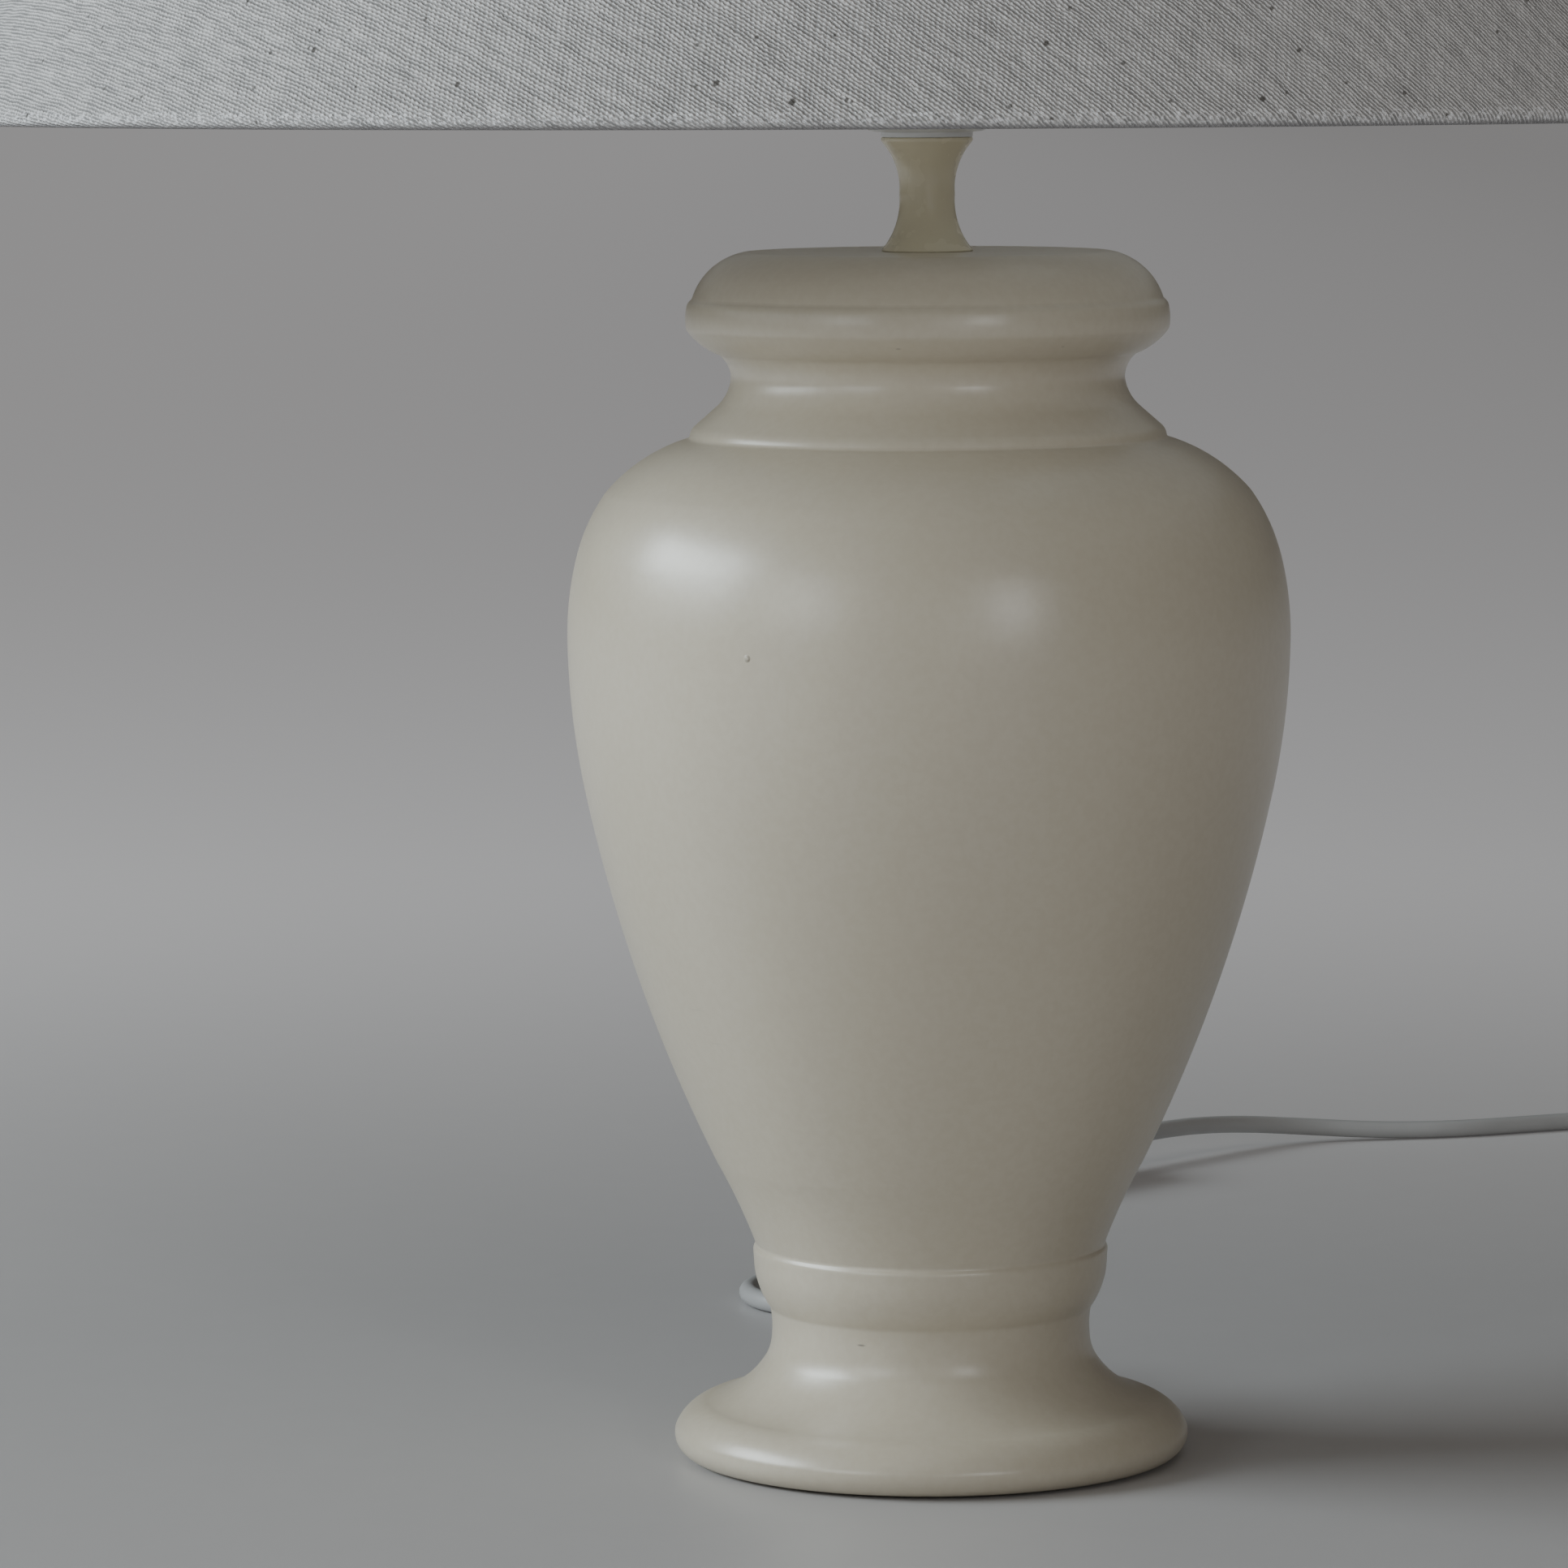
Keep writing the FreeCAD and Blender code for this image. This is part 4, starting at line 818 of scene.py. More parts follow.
class Workshop:
    """Dresses pieces: makes each finish once, and sets it on new pieces and on the frame's nodes."""

    def __init__(self) -> None:
        """Start with no finish made."""
        self.made: dict[Finish, Material] = {}

    def material(self, finish: Finish) -> Material:
        """Return the material of a finish, made the first time that it is asked for."""
        if finish not in self.made:
            self.made[finish] = RECIPES[finish].material()
        return self.made[finish]

    def dress(self, piece: Piece, finish: Finish) -> None:
        """Give a new piece its finish."""
        piece.data.materials.clear()
        piece.data.materials.append(self.material(finish))

    def place(self, piece: Piece, finish: Finish, body: Body, *nodes: str) -> Piece:
        """Dress a new piece, let it ride on a body and put it in the place of its nodes.

        Args:
            piece: The new piece.
            finish: Its finish.
            body: The body that it moves with.
            nodes: The nodes that it stands for.

        Returns:
            The piece.
        """
        self.dress(piece, finish)
        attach(piece, body.value)
        if nodes:
            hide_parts(*nodes)
        faces = len(piece.data.polygons) if piece.type == "MESH" else 0
        LOG.info("%s: %d faces, %s, rides on %s", piece.name, faces, finish.value, body.value)
        return piece

    def dress_nodes(self, finish: Finish, *nodes: str) -> None:
        """Give nodes of the frame a finish."""
        for node in nodes:
            for slot in bpy.data.objects[node].material_slots:
                slot.material = self.material(finish)
            LOG.info("%s: kept from the frame, %s", node, finish.value)


# ---------------------------------------------------------------- studio

@dataclass
class Studio:
    """Camera, soft lights and one plain floor that reaches past the horizon."""

    distance: float = 1.9943
    height: float = 0.3921
    pitch: float = 5.898
    yaw: float = 1.143
    roll: float = -0.30
    lens: float = 167.7
    sensor: float = 36.0
    floor_reach: float = 40.0

    def build(self) -> None:
        """Make the camera, the floor and the lights."""
        self.camera()
        self.floor()
        self.lights()

    def camera(self) -> None:
        """Stand the camera before the lamp, pitched a little down, with the lamp right of the middle."""
        data = bpy.data.cameras.new("camera")
        data.lens = self.lens
        data.sensor_width = self.sensor
        data.clip_end = 50
        item = bpy.data.objects.new("camera", data)
        item.location = (0, -self.distance, self.height)
        aim = Euler((math.radians(90 - self.pitch), 0, math.radians(self.yaw))).to_matrix()
        item.rotation_euler = (aim @ Matrix.Rotation(math.radians(self.roll), 3, "Z")).to_euler()
        bpy.context.scene.collection.objects.link(item)
        bpy.context.scene.camera = item

    def floor(self) -> None:
        """Lay one flat sheet that reaches past the horizon of every view."""
        reach = np.array([-self.floor_reach, self.floor_reach])
        points = np.stack([np.stack([np.full(2, side), reach, np.zeros(2)], axis=1) for side in reach])
        floor = grid_object("plain_floor", points, wrap_across=False)
        floor.data.flip_normals()
        floor.data.materials.append(Backdrop().material())

    def lights(self) -> None:
        """Hang the long soft window on the left, the small one on the right and the fill above."""
        self.panel("window_left", (-2.39, -0.15, 1.27), (0, 0, 0.22), (1.8, 0.85), 67, (0.900, 1.005, 1.065))
        self.panel("window_middle", (-1.60, -1.85, 0.85), (0, 0, 0.22), (1.0, 0.6), 9, (0.93, 1.0, 1.03))
        self.panel("window_right", (1.15, -2.35, 0.80), (0, 0, 0.22), (0.42, 0.52), 8, (0.96, 0.99, 1.0))
        self.panel("room_front", (-0.2, -3.1, 1.0), (0, 0, 0.2), (2.6, 1.0), 3.0, (1.0, 0.97, 0.92))
        self.panel("low_front", (0.38, -2.60, 0.40), (0, 0, 0.33), (0.14, 0.5), 1.0, (1.0, 1.0, 1.0))
        self.panel("ceiling", (0.1, -0.9, 2.6), (0, -0.2, 0), (2.4, 2.4), 9, (1.0, 0.94, 0.88))
        world = bpy.data.worlds.new("room")
        world.use_nodes = True
        world.node_tree.nodes["Background"].inputs[0].default_value = (0.88, 0.80, 0.72, 1)
        world.node_tree.nodes["Background"].inputs[1].default_value = 0.08
        bpy.context.scene.world = world

    def panel(self, name: str, at: Corner, target: Corner, size: Corner, power: float,
              colour: Corner) -> None:
        """Hang one rectangular light.

        Args:
            name: The light's name.
            at: Where it hangs.
            target: The point that it faces.
            size: Width and height.
            power: Watts.
            colour: Light colour.
        """
        data = bpy.data.lights.new(name, "AREA")
        data.shape = "RECTANGLE"
        data.size, data.size_y = size
        data.energy = power
        data.color = colour
        item = bpy.data.objects.new(name, data)
        item.location = at
        facing = Vector(target) - Vector(at)
        item.rotation_euler = facing.to_track_quat("-Z", "Y").to_euler()
        bpy.context.scene.collection.objects.link(item)


# ---------------------------------------------------------------- cord

@dataclass
class MainsCord:
    """The round mains cord: from the base to the switch, and from the switch by a coil to the plug."""

    shop: Workshop
    radius: float = 3.0 * MM
    floor_line: float = 3.1 * MM
    outlet: Corner = (0, 0.0689, 0.0332)
    lamp_points: tuple[Corner, ...] = (
        (0, 86.5, 29), (1.5, 107.5, 18), (7, 127, 6.4), (14.6, 145, 0.7), (26.6, 166, 0), (22.4, 190, 0),
        (4, 206, 0), (-19.5, 207.2, 0), (-37, 209.5, 0), (-52.4, 222.8, 0), (-57.8, 242.3, 0),
        (-51.4, 261.6, 0), (-35.4, 274, 0), (-15.2, 275.4, 0), (2.3, 288.1, 0), (9.6, 308.5, 0),
        (5.5, 329.6, 0), (-6, 357, 0), (-17, 384, 1.9), (-13.9, 408.1, 6.4))
    plug_points: tuple[Corner, ...] = (
        (79.5, 520, 8.4), (105, 547.5, 6.1), (131, 562.5, 2.7), (160, 568.5, 0.3), (189, 574, 0),
        (220, 588, 0), (251, 600, 0))
    tail_points: tuple[Corner, ...] = ((330.4, 542, 6), (331, 523, 4.3))
    plug_end: Corner = (0.330, 0.505, 0.0069)
    switch_middle: Corner = (0.0291, 0.4595, 0.0105)
    switch_reach: float = 45.0 * MM
    switch_heading: float = 50.0
    coil_middle: Corner = (0.2887, 0.5607)
    coil_outer: float = 44.0 * MM
    coil_inner: float = 26.0 * MM
    coil_exit: float = 39.7 * MM
    coil_joint: float = 100.0
    turn_step: float = 22.5
    layer_turns: int = 3
    top_layer: float = 9.1 * MM
    climb: float = 60.0

    def on_floor(self, points: tuple[Corner, ...]) -> list[Corner]:
        """Return route points in metres, with heights in place of the gaps under the cord."""
        return [(x * MM, y * MM, gap * MM + self.floor_line) for x, y, gap in points]

    def switch_end(self, side: int) -> Corner:
        """Return the tip of the switch's strain relief, -1 on the lamp's side or 1 on the plug's."""
        turn = math.radians(self.switch_heading)
        x, y, level = self.switch_middle
        reach = side * self.switch_reach
        return (x + reach * math.cos(turn), y + reach * math.sin(turn), level)

    def coil_points(self) -> list[Corner]:
        """Return the coil: inwards on the floor, up over the innermost turn, and outwards on top.

        The radius falls evenly with the angle in the lower layer and grows evenly in the upper one.
        """
        lower_sweep = 360.0 * self.layer_turns
        upper_sweep = 360.0 * 2 + self.coil_joint
        points = []
        steps = int(round((lower_sweep + upper_sweep) / self.turn_step))
        for step in range(steps):
            sweep = step * self.turn_step
            over = max(sweep - lower_sweep, 0)
            if sweep < lower_sweep:
                radius = self.coil_outer + (self.coil_inner - self.coil_outer) * sweep / lower_sweep
            else:
                radius = self.coil_inner + (self.coil_exit - self.coil_inner) * over / upper_sweep
            level = self.floor_line + (self.top_layer - self.floor_line) * min(over / self.climb, 1)
            turn = math.radians(self.coil_joint - sweep)
            points.append((self.coil_middle[0] + radius * math.cos(turn),
                           self.coil_middle[1] + radius * math.sin(turn), level))
        points.append((self.coil_middle[0] + self.coil_exit, self.coil_middle[1], self.top_layer))
        return points

    def curve(self, name: str, points: list[Corner]) -> Piece:
        """Make a round cord along one smooth spline with these control points."""
        data = bpy.data.curves.new(name, "CURVE")
        data.dimensions = "3D"
        data.bevel_depth = self.radius
        data.bevel_resolution = 5
        data.resolution_u = 8
        data.use_fill_caps = True
        spline = data.splines.new("NURBS")
        spline.points.add(len(points) - 1)
        spline.points.foreach_set("co", np.column_stack([np.array(points), np.ones(len(points))]).ravel())
        spline.order_u = 3
        spline.use_endpoint_u = True
        piece = bpy.data.objects.new(name, data)
        bpy.context.scene.collection.objects.link(piece)
        return piece

    def build(self) -> tuple[Piece, Piece]:
        """Lay both lengths of the cord and return them, the lamp's side first."""
        near, far = self.switch_end(-1), self.switch_end(1)
        first = self.curve("cord_to_switch", [self.outlet, *self.on_floor(self.lamp_points), near])
        second = self.curve("cord_to_plug", [
            far, *self.on_floor(self.plug_points), *self.coil_points(), *self.on_floor(self.tail_points),
            self.plug_end])
        self.shop.place(first, Finish.SHEATH, Body.ROOT, "cord_lamp_side")
        self.shop.place(second, Finish.SHEATH, Body.ROOT, "cord_plug_side", "cord_coil", "cord_tail")
        return first, second


def relief_sleeve(name: str, root: float, tip: float, length: float, origin: Corner, direction: Corner,
                  ribs: int) -> Piece:
    """Make a tapered, grooved strain relief: the radius falls from root to tip with a dip at each groove.

    Args:
        name: The piece's name.
        root: Radius where it leaves the housing.
        tip: Radius at the cord's end.
        length: How long it is.
        origin: Middle of the root.
        direction: The way that it points.
        ribs: How many ribs it has.

    Returns:
        The piece.
    """
    side = ribbed_side(root, tip, length, ribs, dip=0.55 * MM, samples=24 * ribs + 1, ease=8)
    profile = np.concatenate([[[0, 0]], side, [[0, length]]])
    return grid_object(name, swung(turned_points(profile, 48), origin, direction), sharp=50)


# ---------------------------------------------------------------- base

@dataclass
class CeramicBase:
    """The cast base with the felt, the disc and the strain relief at its back.

    Each wobble is its size, its lobes a turn, how it winds up the body and where it starts. Surfaces nearer
    the axis than true_within, in metres, stay round.
    """

    shop: Workshop
    height: float = 331.8
    wall: float = 5.0
    felt: float = 1.0
    step: float = 0.65
    crease: float = 0.16
    turns: int = 112
    wobbles: tuple[Corner, ...] = ((0.12, 2, 9, 0), (0.06, 3, -23, 1.1))
    true_within: float = 0.03
    hole: float = 5.6
    cap_thickness: float = 5.5
    disc_recess: float = 56.5
    disc: float = 3.0
    waist_radius: float = 43.9
    waist_level: float = 33.2
    flange: float = 2.2
    flange_radius: float = 6.9
    flange_edge: float = 0.5
    inner_gap: float = 1.224
    outer_gap: float = 2.267
    neck_radius: float = 5.3
    tail_root: float = 5.1
    tail_tip: float = 3.7
    tail_reach: float = 25.0
    groove: float = 0.5
    grooves: int = 5

    def outside(self) -> list[Corner]:
        """Return the turned outline from the foot's edge up to the cap, in millimetres."""
        top = self.height
        return [
            (67.7, 1.0, 1.28), (70.8, 7.6, 1.6), (61.5, 15.1, -1.93), (45.4, 27.5, -0.3),
            (43.9, 33.2, -0.3), (44.3, 41.4, 1.05), (48.7, 54.5), (48.9, 57.6, 0.1), (48.1, 58.9, -0.48),
            (58.7, 82.0, 3.2), (93.6, 182.0, 1.12), (98.8, 226.0, 0.75), (96.2, 249.0, 0.9),
            (88.0, 266.6, 1.95), (65.3, top - 50.7), (65.0, top - 49.6, 0.15), (64.0, top - 47.6),
            (57.4, top - 41.8, -0.78), (53.7, top - 34.1, -0.78), (56.9, top - 27.8, 0.85),
            (65.8, top - 21.0, 0.30), (65.8, top - 15.2, 0.35), (64.3, top - 12.8, 2.7), (50.0, top),
            (self.hole, top),
        ]

    def inside(self) -> list[Corner]:
        """Return the outline of the hollow from the nipple's hole down to the foot, in millimetres."""
        top, recess, disc_top = self.height, self.disc_recess, self.felt + self.disc
        return [
            (self.hole, top - self.cap_thickness), (50.0, top - self.cap_thickness), (60.8, top - 15.2),
            (60.8, top - 21.0), (51.9, top - 30.3, 0.78), (48.7, top - 34.1), (52.4, top - 41.8),
            (60.4, top - 55.9, -1.95), (83.0, 264.1, -0.9), (91.2, 249.0, -0.75),
            (93.8, 226.0, -1.12), (88.6, 182.0, -3.2), (53.7, 82.0), (43.7, 58.8), (38.9, 33.2),
            (38.9, 27.5), (recess - self.disc, 12.1), (recess - self.disc, disc_top), (recess, disc_top),
            (recess, self.felt),
        ]

    def build(self) -> None:
        """Make the casting and its relief, and dress what stays from the frame."""
        outer = softened(profile_through(self.outside(), 0.3), self.crease, self.step)
        inner = profile_through(self.inside(), 5.0)
        profile = np.concatenate([outer, inner]) * MM
        angle, level = turn_angles(self.turns), profile[None, :, 1]
        wobble = sum(size * np.sin(lobes * angle + climb * level + start)
                     for size, lobes, climb, start in self.wobbles) * MM
        points = turned_points(profile, self.turns, wobble * (profile[None, :, 0] > self.true_within))
        casting = grid_object("glazed_base", points, wrap_along=True)
        self.shop.place(casting, Finish.CERAMIC, Body.ROOT, "ceramic_base")
        self.shop.dress_nodes(Finish.FELT, "felt_pad")
        self.shop.dress_nodes(Finish.FIBREBOARD, "bottom_disc")
        self.shop.dress_nodes(Finish.ZINC, "nipple", "steel_washer", "hex_nut")
        self.shop.dress_nodes(Finish.FIBRE, "fibre_washer")
        self.shop.dress_nodes(Finish.SHEATH, "inner_cable")
        self.relief()

    def relief(self) -> None:
        """Make the bush in the back wall: inner flange, neck, outer flange and a ribbed tail."""
        start = self.waist_radius - self.wall - self.inner_gap - self.flange
        neck_end = self.flange + self.inner_gap + self.wall + self.outer_gap
        rim, neck, root, soft = self.flange_radius, self.neck_radius, self.tail_root, self.flange_edge
        collar_end = neck_end + self.flange
        body = profile_through([
            (0, 0), (rim, 0), (rim, self.flange), (neck, self.flange), (neck, neck_end),
            (rim - soft, neck_end, soft * 0.4), (rim, neck_end + soft * 1.4),
            (rim, collar_end - soft, soft * 0.4), (rim - soft, collar_end), (root, collar_end)], 0.6)
        tail_length = self.waist_radius + self.tail_reach - start - collar_end
        tail = ribbed_side(root, self.tail_tip, tail_length, self.grooves, self.groove, samples=97, ease=9)
        tail = tail[1:] + np.array([0, collar_end])
        profile = np.concatenate([body, tail, [[0, collar_end + tail_length]]]) * MM
        points = swung(turned_points(profile, 48), (0, start * MM, self.waist_level * MM), (0, 1, 0))
        piece = grid_object("outlet_bush", points, sharp=40)
        self.shop.place(piece, Finish.RUBBER, Body.ROOT, "cord_relief")


@dataclass
class NeckSpool:
    """The waisted spool between the cap and the holder, turned and enamelled."""

    shop: Workshop
    foot: float = 331.8
    height: float = 31.0
    end_radius: float = 12.5
    waist_radius: float = 7.6
    lip: float = 1.0
    foot_lip: float = 0.35
    flare: float = 1.6
    bore: float = 5.05

    def build(self) -> None:
        """Make the spool as one turned surface with softened lips."""
        top = self.foot + self.height
        middle = self.foot + self.height / 2
        outer = profile_through([
            (self.bore, self.foot), (self.end_radius, self.foot),
            (self.end_radius, self.foot + self.foot_lip, -self.flare),
            (self.waist_radius, middle, -self.flare), (self.end_radius, top - self.lip),
            (self.end_radius, top), (self.bore, top)], 0.25)
        profile = softened(outer, 0.28, 0.3) * MM
        piece = grid_object("turned_spool", turned_points(profile, 96), wrap_along=True, sharp=50)
        self.shop.place(piece, Finish.SPOOL, Body.ROOT, "neck_spool")


# ---------------------------------------------------------------- lamp holder

@dataclass
class LampHolder:
    """The three-piece screw-base holder with its two shade rings.

    Radii and heights over the bottom are in millimetres.
    """

    shop: Workshop
    bottom: float = 362.8
    bore: float = 5.05
    collar: float = 12.5
    collar_height: float = 1.5
    inner_collar: float = 10.7
    dome_height: float = 10.8
    dome_bulge: float = 3.3
    dome_wall: float = 3.3
    outer: float = 20.0
    lining: float = 18.2
    cap_height: float = 20.0
    shoulder: float = 27.0
    sleeve: float = 19.3
    sleeve_bore: float = 17.5
    sleeve_height: float = 54.0
    mouth: float = 15.4
    mouth_height: float = 52.0
    thread_reach: tuple[float, float] = (27.6, 53.4)
    thread_pitch: float = 2.5
    thread_depth: float = 0.45
    turns: int = 128
    lower_ring: float = 35.0
    upper_ring: float = 40.8
    ring_bore: float = 19.35
    ring_rim: float = 24.0
    ring_edge: float = 27.0
    ring_thickness: float = 4.0
    rim_height: float = 1.6
    ring_chamfer: float = 0.4
    rim_chamfer: float = 0.3
    flutes: int = 30
    flute_depth: float = 0.28
    ring_turns: int = 240

    def build(self) -> None:
        """Make the dome, the threaded sleeve and the rings, and dress the parts inside."""
        self.dome()
        self.threaded_sleeve()
        self.ring("ring_below", "shade_ring_lower", self.bottom + self.lower_ring, Body.ROOT, flange_up=True)
        self.ring("ring_above", "shade_ring_upper", self.bottom + self.upper_ring, Body.SHADE_RING,
                  flange_up=False)
        self.shop.dress_nodes(Finish.PORCELAIN, "holder_insert")
        self.shop.dress_nodes(Finish.BRASS, "screw_shell", "centre_contact", "terminal_screws")

    def dome(self) -> None:
        """Make the domed cap: a flat collar, a shallow dome and a plain skirt."""
        base, top = self.bottom, self.bottom + self.cap_height
        outer = profile_through([
            (self.bore, base), (self.collar, base), (self.collar, base + self.collar_height, self.dome_bulge),
            (self.outer, base + self.dome_height), (self.outer, top), (self.lining, top)], 0.3)
        floor = base + self.dome_wall
        inner = profile_through([
            (self.lining, base + self.dome_height, -self.dome_bulge), (self.inner_collar, floor),
            (self.bore, floor)], 0.8)
        profile = np.concatenate([softened(outer, 0.25, 0.3), inner]) * MM
        piece = grid_object("holder_dome", turned_points(profile, self.turns), wrap_along=True, sharp=50)
        self.shop.place(piece, Finish.MOULDING, Body.ROOT, "holder_cap")

    def threaded_sleeve(self) -> None:
        """Make the sleeve with its thread, which eases in and out over a millimetre."""
        base = self.bottom
        foot, shoulder, top = base + self.cap_height, base + self.shoulder, base + self.sleeve_height
        ledge = base + self.mouth_height
        outline = profile_through([
            (self.outer, foot), (self.outer, shoulder), (self.sleeve, shoulder), (self.sleeve, top),
            (self.mouth, top), (self.mouth, ledge), (self.sleeve_bore, ledge), (self.sleeve_bore, foot)],
            0.35, closed=True)
        low, high = (base + reach for reach in self.thread_reach)
        level = outline[None, :, 1]
        on_thread = (outline[None, :, 0] > self.sleeve - 0.1) & (level > low) & (level < high)
        ease = np.clip(np.minimum(level - low, high - level), 0, 1)
        lift = thread_lift(level, self.turns, self.thread_pitch, self.thread_depth, ease)
        points = turned_points(outline * MM, self.turns, np.where(on_thread, lift, 0.0))
        piece = grid_object("threaded_sleeve", points, wrap_along=True, sharp=50)
        self.shop.place(piece, Finish.MOULDING, Body.ROOT, "holder_sleeve")

    def ring(self, name: str, node: str, level: float, body: Body, flange_up: bool) -> None:
        """Make a shade ring: a flange with grip flutes round its edge and a raised inner rim.

        Args:
            name: The piece's name.
            node: The node that it stands for.
            level: Its underside.
            body: The body that it moves with.
            flange_up: Whether the wide side is on top.
        """
        bore, rim, edge, thick = self.ring_bore, self.ring_rim, self.ring_edge, self.ring_thickness
        bevel, small, step = self.ring_chamfer, self.rim_chamfer, thick - self.rim_height
        outline = profile_through([
            (bore, 0.0), (edge - bevel, 0.0, 0.12), (edge, bevel), (edge, step - bevel, 0.12),
            (edge - bevel, step), (rim, step), (rim, thick - small, 0.09), (rim - small, thick),
            (bore, thick)], 0.3, closed=True)
        if flange_up:
            outline = np.stack([outline[:, 0], thick - outline[:, 1]], axis=1)
        outline[:, 1] += level
        wave = np.cos(self.flutes * turn_angles(self.ring_turns))
        flutes = np.clip(wave, -0.2, 1) * self.flute_depth - self.flute_depth
        lift = np.where(outline[None, :, 0] > edge - 0.35, flutes, 0.0) * MM
        points = turned_points(outline * MM, self.ring_turns, lift)
        piece = grid_object(name, points, wrap_along=True, sharp=50)
        self.shop.place(piece, Finish.MOULDING, body, node)


@dataclass
class Bulb:
    """The opal bulb with its threaded cap.

    Radii and heights over the seat are in millimetres.
    """

    shop: Workshop
    seat: float = 394.8
    radius: float = 30.0
    neck_radius: float = 12.85
    neck_foot: float = 22.0
    neck_top: float = 25.0
    flare_radius: float = 15.5
    flare_height: float = 30.0
    flare_bulge: float = -1.4
    crown_height: float = 77.0
    glass_wall: float = 1.0
    cap_radius: float = 13.2
    cap_wall: float = 0.35
    cap_reach: tuple[float, float] = (4.0, 25.0)
    thread_margins: tuple[float, float] = (1.0, 5.0)
    thread_pitch: float = 3.629
    thread_depth: float = 0.75
    thread_ease: float = 1.5
    turns: int = 96

    def build(self) -> None:
        """Make the glass and the cap, and dress the tip."""
        self.glass()
        self.cap()
        self.shop.dress_nodes(Finish.BLACK_GLASS, "bulb_insulator")
        self.shop.dress_nodes(Finish.SOLDER, "bulb_contact")

    def glass(self) -> None:
        """Make the bulb: neck, flare and a round crown, with a thin wall."""
        seat, radius, wall, foot = self.seat, self.radius, self.glass_wall, self.neck_foot
        crown = radius * (1 - math.sqrt(0.5))
        outside = profile_through([
            (self.neck_radius, seat + foot), (self.neck_radius, seat + self.neck_top),
            (self.flare_radius, seat + self.flare_height, self.flare_bulge),
            (radius, seat + self.crown_height, crown), (0, seat + self.crown_height + radius)], 0.9)
        height = self.crown_height + radius - foot
        inside = outside[::-1] - np.array([wall, 0.0])
        inside[:, 1] = seat + foot + (inside[:, 1] - seat - foot) * ((height - wall) / height)
        inside[:, 0] = np.clip(inside[:, 0], 0, None)
        profile = np.concatenate([softened(outside, 0.8, 0.9), inside]) * MM
        piece = grid_object("opal_bulb", turned_points(profile, self.turns), wrap_along=True)
        self.shop.place(piece, Finish.OPAL, Body.BULB, "bulb_glass")

    def cap(self) -> None:
        """Make the cap: a rolled thread round a thin shell, plain at both ends."""
        low, high = (self.seat + reach for reach in self.cap_reach)
        outline = profile_through([
            (self.cap_radius, low), (self.cap_radius, high), (self.cap_radius - self.cap_wall, high),
            (self.cap_radius - self.cap_wall, low)], 0.3, closed=True)
        level = outline[None, :, 1]
        below, above = self.thread_margins
        ease = np.clip(np.minimum(level - low - below, high - above - level) / self.thread_ease, 0, 1)
        lift = thread_lift(level, self.turns, self.thread_pitch, self.thread_depth, ease)
        points = turned_points(outline * MM, self.turns, lift)
        piece = grid_object("bulb_screw_cap", points, wrap_along=True, sharp=60)
        self.shop.place(piece, Finish.NICKEL, Body.BULB, "bulb_cap")


# ---------------------------------------------------------------- shade

